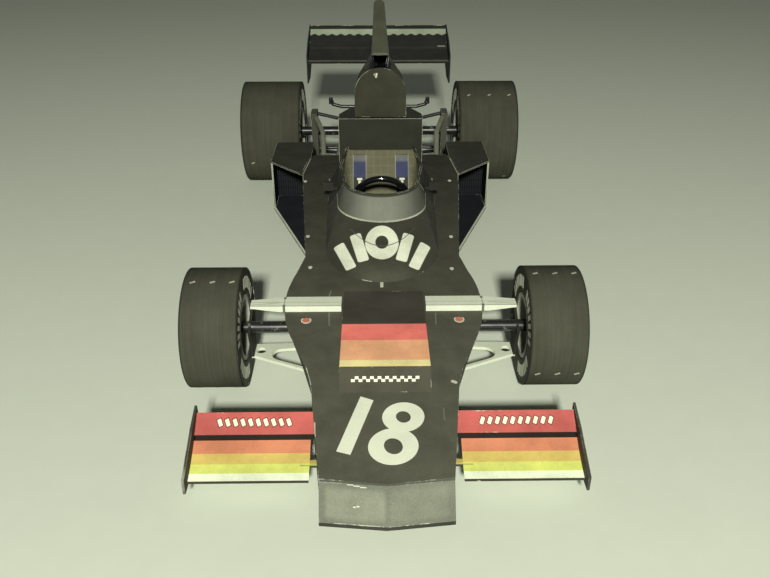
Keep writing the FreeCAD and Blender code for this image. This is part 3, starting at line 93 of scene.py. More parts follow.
# ---- Node trees ----
class Net:
    """Short calls for filling one shader or geometry node tree."""

    def __init__(self, tree: bpy.types.NodeTree) -> None:
        """Keeps the tree that is being filled."""
        self.tree = tree

    def put(self, socket: Socket, value: object) -> None:
        """Links a socket to another one, or sets its value; None leaves it as it is."""
        if isinstance(value, Socket):
            self.tree.links.new(value, socket)
        elif value is not None:
            socket.default_value = value

    def put_all(self, node: Node, values: dict[str, object]) -> None:
        """Links or sets several of a node's inputs, by name."""
        for label, value in values.items():
            self.put(node.inputs[label], value)

    def add(self, kind: str, *values: object, **settings: object) -> Node:
        """Adds a node.

        Args:
            kind: the node's type.
            values: what its inputs take, in their order.
            settings: properties of the node.

        Returns:
            The node.
        """
        node = self.tree.nodes.new(kind)
        for name, value in settings.items():
            setattr(node, name, value)
        for socket, value in zip(node.inputs, values):
            self.put(socket, value)
        return node

    def math(self, operation: str, *values: object) -> Socket:
        """The result of a Math node."""
        return self.add("ShaderNodeMath", *values, operation=operation).outputs[0]

    def times(self, first: object, *others: object) -> Socket:
        """The product of several numbers or masks."""
        for other in others:
            first = self.math("MULTIPLY", first, other)
        return first

    def most(self, first: Socket, *others: Socket) -> Socket:
        """The highest of several masks."""
        for other in others:
            first = self.math("MAXIMUM", first, other)
        return first

    def over(self, value: Socket, limit: float) -> Socket:
        """1 where value is over the limit."""
        return self.math("GREATER_THAN", value, limit)

    def under(self, value: Socket, limit: float) -> Socket:
        """1 where value is under the limit."""
        return self.math("LESS_THAN", value, limit)

    def size(self, value: Socket) -> Socket:
        """A number without its sign."""
        return self.math("ABSOLUTE", value)

    def vector(self, operation: str, *values: object) -> Socket:
        """The result of a Vector Math node, a number for LENGTH and DOT_PRODUCT."""
        node = self.add("ShaderNodeVectorMath", *values, operation=operation)
        return node.outputs[1 if operation in ("LENGTH", "DOT_PRODUCT") else 0]

    def coords(self, kind: str = "Object") -> Socket:
        """The place on the piece, or with "Normal" the way that its surface looks."""
        return self.add("ShaderNodeTexCoord").outputs[kind]

    def split(self, vector: Socket) -> tuple[Socket, Socket, Socket]:
        """A vector's three numbers."""
        return tuple(self.add("ShaderNodeSeparateXYZ", vector).outputs)

    def join(self, x: object = 0.0, y: object = 0.0, z: object = 0.0) -> Socket:
        """A vector of three numbers."""
        return self.add("ShaderNodeCombineXYZ", x, y, z).outputs[0]

    def mix(self, share: object, below: Ink, above: Ink, blend: str = "MIX") -> Socket:
        """A colour between two.

        Args:
            share: how much of the upper colour there is.
            below: the lower colour.
            above: the upper colour.
            blend: how the one is laid over the other.

        Returns:
            The colour.
        """
        node = self.add("ShaderNodeMix", data_type="RGBA", blend_type=blend)
        self.put(node.inputs[0], share)
        for socket, colour in ((node.inputs[6], below), (node.inputs[7], above)):
            self.put(socket, (*colour, 1.0) if isinstance(colour, tuple) else colour)
        return node.outputs[2]

    def scaled(self, colour: Ink, share: Ink) -> Socket:
        """A colour made lighter or darker by a number, or tinted by another colour."""
        return self.mix(1.0, colour, share, "MULTIPLY")

    def ramp(self, share: Socket, stops: Sequence[tuple[float, Rgb]], between: str = "LINEAR") -> Socket:
        """The colour of a ramp.

        Args:
            share: the place on it, from 0 to 1.
            stops: a place and a colour each, in order.
            between: how it goes from one stop to the next.

        Returns:
            The colour.
        """
        node = self.add("ShaderNodeValToRGB", share)
        node.color_ramp.interpolation = between
        elements = node.color_ramp.elements
        while len(elements) < len(stops):
            elements.new(1.0)
        for element, (where, colour) in zip(elements, stops):
            element.position = where
            element.color = (*colour, 1.0)
        return node.outputs[0]

    def noise(self, place: Socket, scale: float, detail: float = 2.0, rough: float = 0.55) -> Socket:
        """Noise from 0 to 1.

        Args:
            place: where.
            scale: cells per metre.
            detail: how many finer layers there are.
            rough: how strong they are.

        Returns:
            The noise.
        """
        return self.add("ShaderNodeTexNoise", place, None, scale, detail, rough).outputs[0]

    def rise(self, value: Socket, start: float, end: float, low: float = 0.0, high: float = 1.0) -> Socket:
        """A number that goes smoothly with another.

        Args:
            value: the other number.
            start: where it starts to count.
            end: where it stops counting.
            low: the result at the start.
            high: the result at the end.

        Returns:
            The number.
        """
        ends = (start, end, low, high)
        return self.add("ShaderNodeMapRange", value, *ends, interpolation_type="SMOOTHSTEP").outputs[0]

    def rise_mm(self, value: Socket, start: float, end: float, low: float = 0.0, high: float = 1.0) -> Socket:
        """The same for a length, with start and end in millimetres."""
        return self.rise(value, start * MM, end * MM, low, high)

    def within(self, value: Socket, low: float, high: float, soft: float = 0.04) -> Socket:
        """1 where a length lies between low and high, with soft ends; all in millimetres."""
        return self.times(self.rise_mm(value, low - soft, low + soft),
                          self.rise_mm(value, high + soft, high - soft))

    def bump(self, height: Socket, strength: float, distance: float) -> Socket:
        """The normal of a bumpy surface, from a height and how far it stands out in millimetres."""
        node = self.add("ShaderNodeBump", strength, distance * MM)
        self.put(node.inputs["Height"], height)
        return node.outputs[0]


class Group:
    """A node group that is built the first time that it is asked for."""

    kind = "ShaderNodeTree"
    name = "group"
    inputs: tuple[tuple[str, str, object], ...] = ()
    outputs: tuple[tuple[str, str], ...] = ()

    def fill(self, net: Net, given: bpy.types.NodeOutputs) -> tuple[Socket, ...]:
        """Makes the group's nodes.

        Args:
            net: the group's tree.
            given: the group's inputs, by name.

        Returns:
            What each output takes.
        """
        raise NotImplementedError

    def tree(self) -> bpy.types.NodeTree:
        """The group's tree."""
        tree = bpy.data.node_groups.get(self.name)
        if tree:
            return tree
        tree = bpy.data.node_groups.new(self.name, self.kind)
        for label, kind, start in self.inputs:
            socket = tree.interface.new_socket(label, in_out="INPUT", socket_type="NodeSocket" + kind)
            if start is not None:
                socket.default_value = start
        for label, kind in self.outputs:
            tree.interface.new_socket(label, in_out="OUTPUT", socket_type="NodeSocket" + kind)
        net = Net(tree)
        net.add("NodeGroupOutput", *self.fill(net, net.add("NodeGroupInput").outputs))
        return tree


class Effect(Group):
    """A shader node group that several finishes place, each with its own values."""

    def place(self, net: Net, **values: object) -> bpy.types.NodeOutputs:
        """Puts the group into a material.

        Args:
            net: the material's tree.
            values: what the group's inputs take, by name.

        Returns:
            The group's outputs.
        """
        node = net.add("ShaderNodeGroup", node_tree=self.tree())
        net.put_all(node, values)
        return node.outputs


class CardGrain(Effect):
    """Blotches of ink, the fibres of the card and its slight waves."""

    name = "card_grain"
    inputs = (("Blotches", "Float", 0.2), ("Fibre", "Float", 0.12))
    outputs = (("Tone", "Float"), ("Height", "Float"), ("Dull", "Float"))

    def fill(self, net: Net, given: bpy.types.NodeOutputs) -> tuple[Socket, ...]:
        """Noise at four sizes."""
        spot = net.coords()
        blotches = net.rise(net.noise(spot, 190.0, 4.0, 0.6), 0.25, 0.75, -1.0, 1.0)
        fibre = net.noise(net.vector("MULTIPLY", spot, (1.0, 0.55, 1.0)), 5200.0, 3.0, 0.7)
        waves = net.noise(spot, 55.0, 1.0)
        tone = net.math("MULTIPLY_ADD", blotches, given["Blotches"], 1.0)
        specks = net.times(net.math("SUBTRACT", fibre, 0.5), given["Fibre"])
        tone = net.math("MULTIPLY_ADD", specks, 4.0, tone)
        height = net.math("MULTIPLY_ADD", waves, 3.0, net.times(fibre, 0.22))
        dull = net.rise(net.noise(spot, 420.0, 3.0), 0.3, 0.7, -0.06, 0.08)
        return tone, height, dull


class BareEdges(Effect):
    """Where the white core of the card shows: rubbed folds and faces cut through the sheet."""

    name = "bare_edges"
    inputs = (("Rub", "Float", 0.4), ("Sheet", "Vector", (0.0, 0.0, 0.0)), ("Bare", "Float", 0.5))
    outputs = (("Rubbed", "Float"), ("Cut", "Float"))

    def fill(self, net: Net, given: bpy.types.NodeOutputs) -> tuple[Socket, ...]:
        """Compares the rounded and the true normal, and the normal with the way through the sheet."""
        spot = net.coords()
        rounded = net.add("ShaderNodeBevel", 0.16 * MM, samples=6).outputs[0]
        true_normal = net.add("ShaderNodeNewGeometry").outputs["Normal"]
        edge = net.rise(net.vector("DOT_PRODUCT", rounded, true_normal), 0.985, 0.90)
        nicks, patches = net.noise(spot, 1900.0, 2.0), net.noise(spot, 210.0, 3.0, 0.65)
        worn = net.math("ADD", net.math("MULTIPLY_ADD", nicks, 0.35, patches), net.times(given["Rub"], 0.55))
        rubbed = net.times(edge, net.rise(worn, 0.93, 1.03))
        through = net.size(net.vector("DOT_PRODUCT", net.coords("Normal"), given["Sheet"]))
        is_sheet = net.over(net.vector("LENGTH", given["Sheet"]), 0.5)
        inked = net.math("ADD", net.noise(spot, 90.0, 3.0, 0.6), given["Bare"])
        return rubbed, net.times(net.under(through, 0.45), is_sheet, net.rise(inked, 0.94, 1.04))


class Patch(Effect):
    """A turned rectangle with rounded corners, in the first two numbers of a place."""

    name = "rounded_patch"
    inputs = (("Place", "Vector", (0.0, 0.0, 0.0)), ("Centre", "Vector", (0.0, 0.0, 0.0)),
              ("Half", "Vector", (0.001, 0.001, 0.0)), ("Corner", "Float", 0.0002),
              ("Turn", "Float", 0.0), ("Soft", "Float", 0.00006))
    outputs = (("Mask", "Float"),)

    def fill(self, net: Net, given: bpy.types.NodeOutputs) -> tuple[Socket, ...]:
        """The distance to the rounded rectangle."""
        off = net.vector("SUBTRACT", given["Place"], given["Centre"])
        turned = net.add("ShaderNodeVectorRotate", off, (0.0, 0.0, 0.0), (0.0, 0.0, 1.0), given["Turn"])
        flat = net.vector("MULTIPLY", net.vector("ABSOLUTE", turned.outputs[0]), (1.0, 1.0, 0.0))
        corner = given["Corner"]
        past = net.vector("SUBTRACT", flat, net.vector("SUBTRACT", given["Half"], net.join(corner, corner)))
        x, y, _ = net.split(past)
        outside = net.vector("LENGTH", net.vector("MAXIMUM", past, (0.0, 0.0, 0.0)))
        inside = net.math("MINIMUM", net.most(x, y), 0.0)
        away = net.math("SUBTRACT", net.math("ADD", outside, inside), corner)
        return (net.rise(net.math("DIVIDE", away, given["Soft"]), 1.0, -1.0),)


class Hoop(Effect):
    """A ring, in the first two numbers of a place."""

    name = "hoop"
    inputs = (("Place", "Vector", (0.0, 0.0, 0.0)), ("Centre", "Vector", (0.0, 0.0, 0.0)),
              ("Stretch", "Vector", (1.0, 1.0, 0.0)), ("Radius", "Float", 0.003),
              ("Stroke", "Float", 0.001), ("Soft", "Float", 0.00006))
    outputs = (("Mask", "Float"),)

    def fill(self, net: Net, given: bpy.types.NodeOutputs) -> tuple[Socket, ...]:
        """The distance to the ring's middle line."""
        off = net.vector("SUBTRACT", given["Place"], given["Centre"])
        out = net.vector("LENGTH", net.vector("MULTIPLY", off, given["Stretch"]))
        away = net.size(net.math("SUBTRACT", out, given["Radius"]))
        away = net.math("SUBTRACT", away, net.times(given["Stroke"], 0.5))
        return (net.rise(net.math("DIVIDE", away, given["Soft"]), 1.0, -1.0),)


def flat_point(spot: Spot) -> Point:
    """Two numbers in millimetres as a vector in metres, its third number nothing."""
    return spot[0] * MM, spot[1] * MM, 0.0


@dataclass(frozen=True)
class Mark:
    """A printed rectangle with rounded corners, turned by so many degrees."""

    centre: Spot
    half: Spot
    corner: float = 0.05
    turn: float = 0.0
    ink: Rgb = LINE

    def mask(self, net: Net, place: Socket, soft: float = 0.06) -> Socket:
        """1 where the mark is, by a place in metres; its rim is soft for so many millimetres."""
        return Patch().place(net, Place=place, Centre=flat_point(self.centre), Half=flat_point(self.half),
                             Corner=self.corner * MM, Turn=math.radians(self.turn), Soft=soft * MM)[0]


# ---- Finishes ----
@dataclass(frozen=True)
class Finish:
    """What a piece is made of and how it looks."""

    name: str

    def shade(self, net: Net) -> dict[str, object]:
        """What the shader's inputs take, by name; each kind of finish has its own."""
        raise NotImplementedError

    def material(self) -> bpy.types.Material:
        """The finish as a material, built the first time that it is asked for."""
        made = bpy.data.materials.get(self.name)
        if made:
            return made
        made = bpy.data.materials.new(self.name)
        made.use_nodes = True
        made.node_tree.nodes.clear()
        net = Net(made.node_tree)
        shader = net.add("ShaderNodeBsdfPrincipled")
        net.put_all(shader, self.shade(net))
        net.add("ShaderNodeOutputMaterial", shader.outputs[0])
        return made


@dataclass(frozen=True)
class Card(Finish):
    """Printed card with fibres, blotches of ink and a white core at worn and cut edges."""

    ink: Rgb = BLACK
    core: Rgb = CORE
    sheet: Sheet = Sheet.FOLDED
    rub: float = 0.35
    bare: float = 0.42
    blotches: float = 0.16
    fibre: float = 0.10
    dullness: float = 0.58
    core_dullness: float = 0.25
    sheen: float = 0.08
    relief: Spot = (0.5, 0.03)

    def printed(self, net: Net, ink: Ink) -> Ink:
        """The print on the card; plain ink unless a finish says otherwise."""
        return ink

    def shade(self, net: Net) -> dict[str, object]:
        """The print with the card's grain, and its core laid over it."""
        grain = CardGrain().place(net, Blotches=self.blotches, Fibre=self.fibre)
        edges = BareEdges().place(net, Rub=self.rub, Sheet=self.sheet.value, Bare=self.bare)
        white = net.most(edges["Rubbed"], edges["Cut"])
        inked = net.scaled(self.printed(net, self.ink), grain["Tone"])
        rough = net.math("ADD", grain["Dull"], self.dullness)
        return {"Base Color": net.mix(white, inked, self.core),
                "Roughness": net.math("MULTIPLY_ADD", white, self.core_dullness, rough),
                "Specular IOR Level": self.sheen,
                "Normal": net.bump(grain["Height"], *self.relief)}


@dataclass(frozen=True)
class Coated(Finish):
    """Paint or lacquer on wire: smooth, with brush marks and bare spots."""

    colour: Rgb = (0.02, 0.02, 0.018)
    chip: Rgb = (0.10, 0.10, 0.085)
    dullness: float = 0.3
    coat: float = 0.0
    coat_dullness: float = 0.08
    relief: Spot = (0.3, 0.02)

    def shade(self, net: Net) -> dict[str, object]:
        """Brush marks along the wire and small bare spots."""
        spot = net.coords()
        marks = net.noise(net.vector("MULTIPLY", spot, (0.3, 1.0, 1.0)), 1500.0, 3.0)
        chips = net.rise(net.noise(spot, 700.0, 3.0, 0.7), 0.60, 0.66)
        return {"Base Color": net.mix(chips, self.colour, self.chip),
                "Roughness": net.rise(marks, 0.2, 0.8, self.dullness * 0.7, self.dullness * 1.4),
                "Coat Weight": self.coat,
                "Coat Roughness": self.coat_dullness,
                "Normal": net.bump(marks, *self.relief)}


@dataclass(frozen=True)
class BandedCard(Card):
    """Card printed with bands across the car, told apart by their place along it."""

    bands: tuple[tuple[float, Rgb], ...] = ()
    start: float = 0.0
    end: float = 1.0
    under: Rgb = CORE
    front: Rgb = CORE

    def printed(self, net: Net, ink: Ink) -> Ink:
        """Bands from start to end, each from its own place to the next; underside and front edge differ."""
        _, y, _ = net.split(net.coords())
        _, ahead, upward = net.split(net.coords("Normal"))
        share = net.add("ShaderNodeMapRange", y, self.start * MM, self.end * MM).outputs[0]
        stops = [((where - self.start) / (self.end - self.start), colour) for where, colour in self.bands]
        below = net.mix(net.under(ahead, -0.5), self.under, self.front)
        return net.mix(net.over(upward, 0.2), below, net.ramp(share, stops, "CONSTANT"))


@dataclass(frozen=True)
class MarkedCard(Card):
    """Card with marks printed on it.

    They lie in the plan unless axes says which two of x, y and z the print runs along. A painted
    light falloff, if given, scales the ink along the car: painted light toward the nose, painted shade toward
    the rear.
    """

    marks: tuple[Mark, ...] = ()
    axes: str = "XY"
    soft: float = 0.06
    mirrored: bool = False
    # painted light falloff along the car; None leaves the ink even
    painted_light_falloff: Fade | None = None
    bare_below: bool = False

    def printed(self, net: Net, ink: Ink) -> Ink:
        """The marks one over the other, the same on both sides of the middle if mirrored."""
        parts = dict(zip("XYZ", net.split(net.coords())))
        # painted light falloff: the ink is scaled along the car, lighter ahead and darker behind
        if self.painted_light_falloff:
            ink = net.scaled(ink, net.rise_mm(parts["Y"], *self.painted_light_falloff))
        first, second = (parts[axis] for axis in self.axes)
        place = net.join(net.size(first) if self.mirrored else first, second)
        for mark in self.marks:
            ink = net.mix(mark.mask(net, place, self.soft), ink, mark.ink)
        if self.bare_below:
            upward = net.split(net.coords("Normal"))[2]
            ink = net.mix(net.under(upward, -0.2), ink, self.core)
        return ink


@dataclass(frozen=True)
class CowlCard(Card):
    """The cowl's print: a hoop between slanted bars and the line of the removable panel, on ink with a
    painted sheen toward the tip.
    """

    bars: tuple[Mark, ...] = ()
    soft: float = 0.08
    hoop_centre: Spot = (-0.1, -30.3)
    hoop_radius: float = 2.4
    hoop_stroke: float = 2.1
    hoop_stretch: Point = (1.0, 0.70, 0.0)
    # tone and the tip fields below paint a sheen: the ink is lightened near the tip as a painted highlight
    tone: float = 0.88
    painted_sheen_gain: float = 0.75
    tip: Spot = (-33.0, -41.0)
    painted_sheen_half: Spot = (9.0, 1.5)
    seam_front: float = -31.4
    seam_curve: float = 0.133
    seam_half: Spot = (6.8, 0.12)
    seam_ink: Rgb = (0.11, 0.11, 0.08)

    def printed(self, net: Net, ink: Ink) -> Ink:
        """Cream shapes with the panel line drawn over them, on ink with a painted sheen toward the tip."""
        place = net.coords()
        x, y, _ = net.split(place)
        # painted highlight: the ink near the cowl's tip is lightened
        tip = net.times(net.rise_mm(y, *self.tip), net.rise_mm(net.size(x), *self.painted_sheen_half))
        ink = net.scaled(ink, net.math("MULTIPLY_ADD", tip, self.painted_sheen_gain, self.tone))
        sizes = {"Radius": self.hoop_radius * MM, "Stroke": self.hoop_stroke * MM, "Soft": self.soft * MM}
        masks = [Hoop().place(net, Place=place, Centre=flat_point(self.hoop_centre),
                              Stretch=self.hoop_stretch, **sizes)[0]]
        masks += [bar.mask(net, place, self.soft) for bar in self.bars]
        colour = net.mix(net.most(*masks), ink, CREAM)
        bow = net.times(x, x, self.seam_curve / MM)
        ahead = net.math("SUBTRACT", net.math("SUBTRACT", y, self.seam_front * MM), bow)
        wide, thin = self.seam_half
        line = net.times(net.within(ahead, -thin, thin), net.within(x, -wide, wide))
        return net.mix(line, colour, self.seam_ink)


@dataclass(frozen=True)
class ScreenCard(Card):
    """Smoky card of the windscreen: pale in the middle with painted shade toward its sides, and its cut lower
    edge showing.
    """

    # painted shade: the ink darkens from the middle toward the sides
    sides: Fade = (2.0, 9.8, 1.06, 0.45)
    streaks: Spot = (900.0, 0.22)
    foot: Spot = (17.8, 18.56)
    foot_sides: Fade = (1.0, 8.0, 0.28, 0.62)
    rim: Spot = (22.2, 22.4)
    rim_ink: Rgb = (0.05, 0.05, 0.04)

    def printed(self, net: Net, ink: Ink) -> Ink:
        """Painted shade toward the sides, white along the foot and dark along the rim."""
        x, _, z = net.split(net.coords())
        wide = net.size(x)
        scale, strength = self.streaks
        streak = net.math("SUBTRACT", net.noise(net.join(net.times(x, scale)), 1.0, 2.0), 0.5)
        # painted shade toward the sides, with streaks
        tone = net.math("ADD", net.rise_mm(wide, *self.sides), net.times(streak, strength))
        foot = net.times(net.within(z, *self.foot), net.rise_mm(wide, *self.foot_sides))
        colour = net.mix(net.rise_mm(z, *self.rim), net.scaled(ink, tone), self.rim_ink)
        return net.mix(foot, colour, self.core)


@dataclass(frozen=True)
class LinedCard(Card):
    """Card that stands beside the middle line and has a second print on its inner side."""

    lining: Rgb = (0.12, 0.115, 0.073)

    def printed(self, net: Net, ink: Ink) -> Ink:
        """The lining wherever a face looks toward the middle of the car."""
        across = net.split(net.coords())[0]
        facing = net.split(net.coords("Normal"))[0]
        outward = net.times(net.math("SIGN", across), facing)
        return net.mix(net.under(outward, -0.25), ink, self.lining)


@dataclass(frozen=True)
class PodCard(Card):
    """The side pods: black outside, darker inside, white where the card is cut at the front."""

    floor_top: float = 3.6
    hollow: Rgb = (0.020, 0.021, 0.027)
    cut: Rgb = (0.36, 0.38, 0.32)
    cut_fade: Fade = (5.0, 14.0, 0.35, 1.0)
    corner: Spot = (28.6, 19.8)
    slant: float = 69.8
    strip: float = 0.50

    def printed(self, net: Net, ink: Ink) -> Ink:
        """Cut edges face forward, a pale strip follows the slanted edge, and inner faces are dark."""
        place = net.coords()
        x, y, z = net.split(place)
        out, ahead, up = net.split(net.coords("Normal"))
        on_floor = net.times(net.over(up, 0.5), net.under(z, self.floor_top * MM))
        inner = net.most(on_floor, net.under(net.times(net.math("SIGN", x), out), -0.5))
        worn = net.rise(net.noise(place, 900.0, 3.0), 0.22, 0.34)
        cut_face = net.times(net.under(ahead, -0.7), worn, net.rise_mm(z, *self.cut_fade))
        sine, cosine = math.sin(math.radians(self.slant)), math.cos(math.radians(self.slant))
        past_corner = (self.corner[0] * sine - self.corner[1] * cosine) * MM
        inside = net.math("SUBTRACT", net.math("MULTIPLY_ADD", y, cosine, past_corner),
                          net.times(net.size(x), sine))
        edge = net.times(net.within(inside, 0.0, self.strip), on_floor)
        return net.mix(edge, net.mix(cut_face, net.mix(inner, ink, self.hollow), self.cut), self.core)


@dataclass(frozen=True)
class BeltCard(Card):
    """A shoulder belt: pale at the top, blue in the middle and black under its buckle."""

    middle: float = 5.1
    top: Spot = (21.1, 21.7)
    top_ink: Rgb = (0.15, 0.15, 0.145)
    foot: Spot = (18.5, 18.2)
    foot_ink: Rgb = (0.045, 0.045, 0.036)
    hem: Fade = (1.4, 1.52, 0.0, 0.55)
    hem_ink: Rgb = (0.45, 0.45, 0.40)

    def printed(self, net: Net, ink: Ink) -> Ink:
        """Three lengths by height, with pale edges along them."""
        x, _, z = net.split(net.coords())
        off = net.size(net.math("SUBTRACT", net.size(x), self.middle * MM))
        colour = net.mix(net.rise_mm(z, *self.top), ink, self.top_ink)
        colour = net.mix(net.rise_mm(z, *self.foot), colour, self.foot_ink)
        return net.mix(net.rise_mm(off, *self.hem), colour, self.hem_ink)


@dataclass(frozen=True)
class ScoopCard(Card):
    """The airbox: a painted highlight along its middle line, painted shade on its flanks, and its mouth
    painted black as the shade inside it.
    """

    # painted highlight within 2 mm of the middle line, painted shade on the flanks beyond it
    painted_spine_light: Fade = (2.0, 2.5, 1.2, 0.45)
    mouth: tuple[Spot, Spot, Spot] = ((-2.6, 2.6), (9.0, 20.2), (39.4, 45.05))
    # painted shade: the inside of the mouth is coloured near black
    painted_mouth_shade_ink: Rgb = (0.006, 0.006, 0.008)

    def printed(self, net: Net, ink: Ink) -> Ink:
        """Painted highlight near the middle line, painted shade further out, and a black box of space painted
        as the shade inside the mouth.
        """
        parts = net.split(net.coords())
        # painted highlight and shade by the distance from the middle line
        colour = net.scaled(ink, net.rise_mm(net.size(parts[0]), *self.painted_spine_light))
        # painted shade inside the mouth
        inside = [net.times(net.over(part, low * MM), net.under(part, high * MM))
                  for part, (low, high) in zip(parts, self.mouth)]
        return net.mix(net.times(*inside), colour, self.painted_mouth_shade_ink)


@dataclass(frozen=True)
class RearWingCard(Card):
    """The rear wing: a white wavy band along its rear edge, a pale line just behind its front edge that is a
    painted highlight, and a faint pale line further back.
    """

    front: float = 77.2
    rear: float = 95.2
    pitch: float = 2.9
    wave: float = 0.3
    band: Spot = (3.5, 1.2)
    band_ink: Rgb = (0.42, 0.48, 0.36)
    # painted highlight: a pale line just behind the leading edge
    line: Spot = (1.2, 2.1)
    painted_highlight_ink: Rgb = (0.30, 0.29, 0.22)
    middle: Spot = (8.2, 9.2)
    middle_ink: Rgb = (0.30, 0.32, 0.25)
    chip: Mark = Mark((20.6, 86.6), (1.3, 0.28), 0.12, 0.0, (0.42, 0.46, 0.36))

    def printed(self, net: Net, ink: Ink) -> Ink:
        """Lines across the wing on its upper side, the front one a painted highlight, and one scuff."""
        place = net.coords()
        x, y, _ = net.split(place)
        start, end = (self.rear - away for away in self.band)
        wave = net.math("SINE", net.times(x, FULL_TURN / (self.pitch * MM)))
        past = net.math("MULTIPLY_ADD", wave, self.wave * MM, net.math("SUBTRACT", y, start * MM))
        band = net.times(net.rise_mm(past, -0.15, 0.15), net.rise_mm(y, end, end - 0.3))
        # painted highlight along the leading edge
        line = net.within(y, self.front + self.line[0], self.front + self.line[1], 0.2)
        middle = net.within(y, self.front + self.middle[0], self.front + self.middle[1], 0.4)
        chip = self.chip.mask(net, place)
        colour = ink
        for mask, share, its_ink in ((band, 0.9, self.band_ink), (line, 0.35, self.painted_highlight_ink),
                                     (middle, 0.04, self.middle_ink), (chip, 0.6, self.chip.ink)):
            colour = net.mix(net.times(mask, share), colour, its_ink)
        return net.mix(net.over(net.split(net.coords("Normal"))[2], 0.1), ink, colour)


@dataclass(frozen=True)
class FinCard(Card):
    """A radiator core: thin upright fins between cross tubes."""

    pitch: float = 0.62
    fin_edge: Fade = (0.06, 0.16, 0.35, 1.1)
    tube_gap: float = 0.9
    tube_edge: Fade = (0.05, 0.14, 0.6, 1.0)

    def printed(self, net: Net, ink: Ink) -> Ink:
        """Dark gaps between pale fins, and darker cross tubes."""
        x, _, z = net.split(net.coords())
        fins = net.math("PINGPONG", net.math("ADD", x, 100 * self.pitch * MM), 0.5 * self.pitch * MM)
        tubes = net.math("PINGPONG", z, self.tube_gap * MM)
        tone = net.times(net.rise_mm(fins, *self.fin_edge), net.rise_mm(tubes, *self.tube_edge))
        return net.scaled(ink, tone)


@dataclass(frozen=True)
class QuiltCard(Card):
    """Olive card with the lines of quilting printed on it."""

    pitch: float = 1.7
    stitch: Fade = (0.16, 0.05, 0.0, 0.16)
    thread: Rgb = (0.30, 0.29, 0.20)
    weave: float = 12000.0
    weft: Rgb = (0.125, 0.118, 0.072)

    def printed(self, net: Net, ink: Ink) -> Ink:
        """Fine light lines in a grid, and a weave between them."""
        x, _, z = net.split(net.coords())
        lines = []
        for value in (x, z):
            saw = net.math("PINGPONG", net.math("ADD", value, 50 * self.pitch * MM), 0.5 * self.pitch * MM)
            lines.append(net.rise_mm(saw, *self.stitch))
        weave = net.math("SINE", net.times(net.math("ADD", x, z), self.weave))
        cloth = net.mix(net.rise(weave, -1.0, 1.0, 0.0, 0.35), ink, self.weft)
        return net.mix(net.most(*lines), cloth, self.thread)


@dataclass(frozen=True)
class RimCard(Card):
    """A wheel rim's print: light rings round the hub, darker toward the middle."""

    centre: Spot = (0.0, 0.0)
    radius: float = 6.0
    rings: tuple[Spot, ...] = ((0.0, 0.30), (0.20, 0.30), (0.22, 0.95), (0.30, 0.55), (0.62, 0.75),
                               (0.80, 0.60), (0.84, 1.05), (1.0, 0.9))

    def printed(self, net: Net, ink: Ink) -> Ink:
        """Rings by the distance from the axle: a share of the radius and a tone each."""
        _, y, z = net.split(net.coords())
        off = net.vector("SUBTRACT", net.join(y, z), flat_point(self.centre))
        share = net.math("DIVIDE", net.vector("LENGTH", off), self.radius * MM)
        return net.scaled(net.ramp(share, [(where, (tone, tone, tone)) for where, tone in self.rings]), ink)


@dataclass(frozen=True)
class TyreCard(Card):
    """Dark card strip of a tyre: streaks round the tread, painted shade along the tread's edges and the seam
    of the strip.
    """

    tread: bool = True
    stretch: Point = (3.0, 60.0, 1.0)
    streaks: Fade = (0.3, 0.7, 0.86, 1.12)
    # painted shade along the tread's edges, where its sheen falls away
    painted_edge_shade: Fade = (0.0, 0.045, 0.45, 1.0)
    seam: Spot = (0.9290, 0.9315)
    seam_ink: Rgb = (0.02, 0.02, 0.016)

    def printed(self, net: Net, ink: Ink) -> Ink:
        """Streaks and painted shade along the tread's edges by the piece's own map: u goes round, v goes
        across.
        """
        lay = net.add("ShaderNodeUVMap", uv_map="lay").outputs[0]
        u, v, _ = net.split(lay)
        streaks = net.noise(net.vector("MULTIPLY", lay, self.stretch), 1.0, 4.0, 0.65)
        colour = net.scaled(ink, net.rise(streaks, *self.streaks))
        if not self.tread:
            return colour
        edge = net.math("SUBTRACT", 0.5, net.size(net.math("SUBTRACT", v, 0.5)))
        # painted shade: darker toward the tread's edges, with a little streak noise
        painted_edge_shade = net.math("ADD", net.rise(edge, *self.painted_edge_shade),
                        net.times(net.math("SUBTRACT", streaks, 0.5), 0.1))
        start, end, soft = *self.seam, 0.0006
        seam = net.times(net.rise(u, start - soft, start + soft), net.rise(u, end + soft, end - soft))
        return net.mix(seam, net.scaled(colour, painted_edge_shade), self.seam_ink)


# ---- Meshes and pieces ----
Shape = bmesh.types.BMesh
Vert = bmesh.types.BMVert
PRINT_DEPTH = 0.06


def in_metres(*point: float) -> Vector:
    """A point given in millimetres."""
    return Vector(point) * MM


def box_mm(node: str) -> tuple[Vector, Vector]:
    """A frame piece's lowest and highest corner, in millimetres."""
    low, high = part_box(node)
    return low / MM, high / MM


def standing(out: Vector) -> Point:
    """The turn that points a small piece's own z along a direction."""
    return tuple(out.to_track_quat("Z", "Y").to_euler())


def put_in_scene(name: str, data: bpy.types.ID) -> bpy.types.Object:
    """Makes an object of a mesh, lamp or camera and links it to the scene."""
    thing = bpy.data.objects.new(name, data)
    bpy.context.scene.collection.objects.link(thing)
    return thing


def add_piece(name: str, mesh: bpy.types.Mesh, body: str = CHASSIS,
              replaces: Sequence[str] = ()) -> None:
    """Puts a finished mesh into the scene as a piece that rides on a body.

    Args:
        name: the piece's name.
        mesh: its mesh, in metres and in place.
        body: the body that carries it.
        replaces: the frame pieces that it stands for.
    """
    mesh.name = name
    piece = put_in_scene(name, mesh)
    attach(piece, body)
    if replaces:
        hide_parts(*replaces)
    log.info("piece %s on %s, %d faces", name, body, len(mesh.polygons))


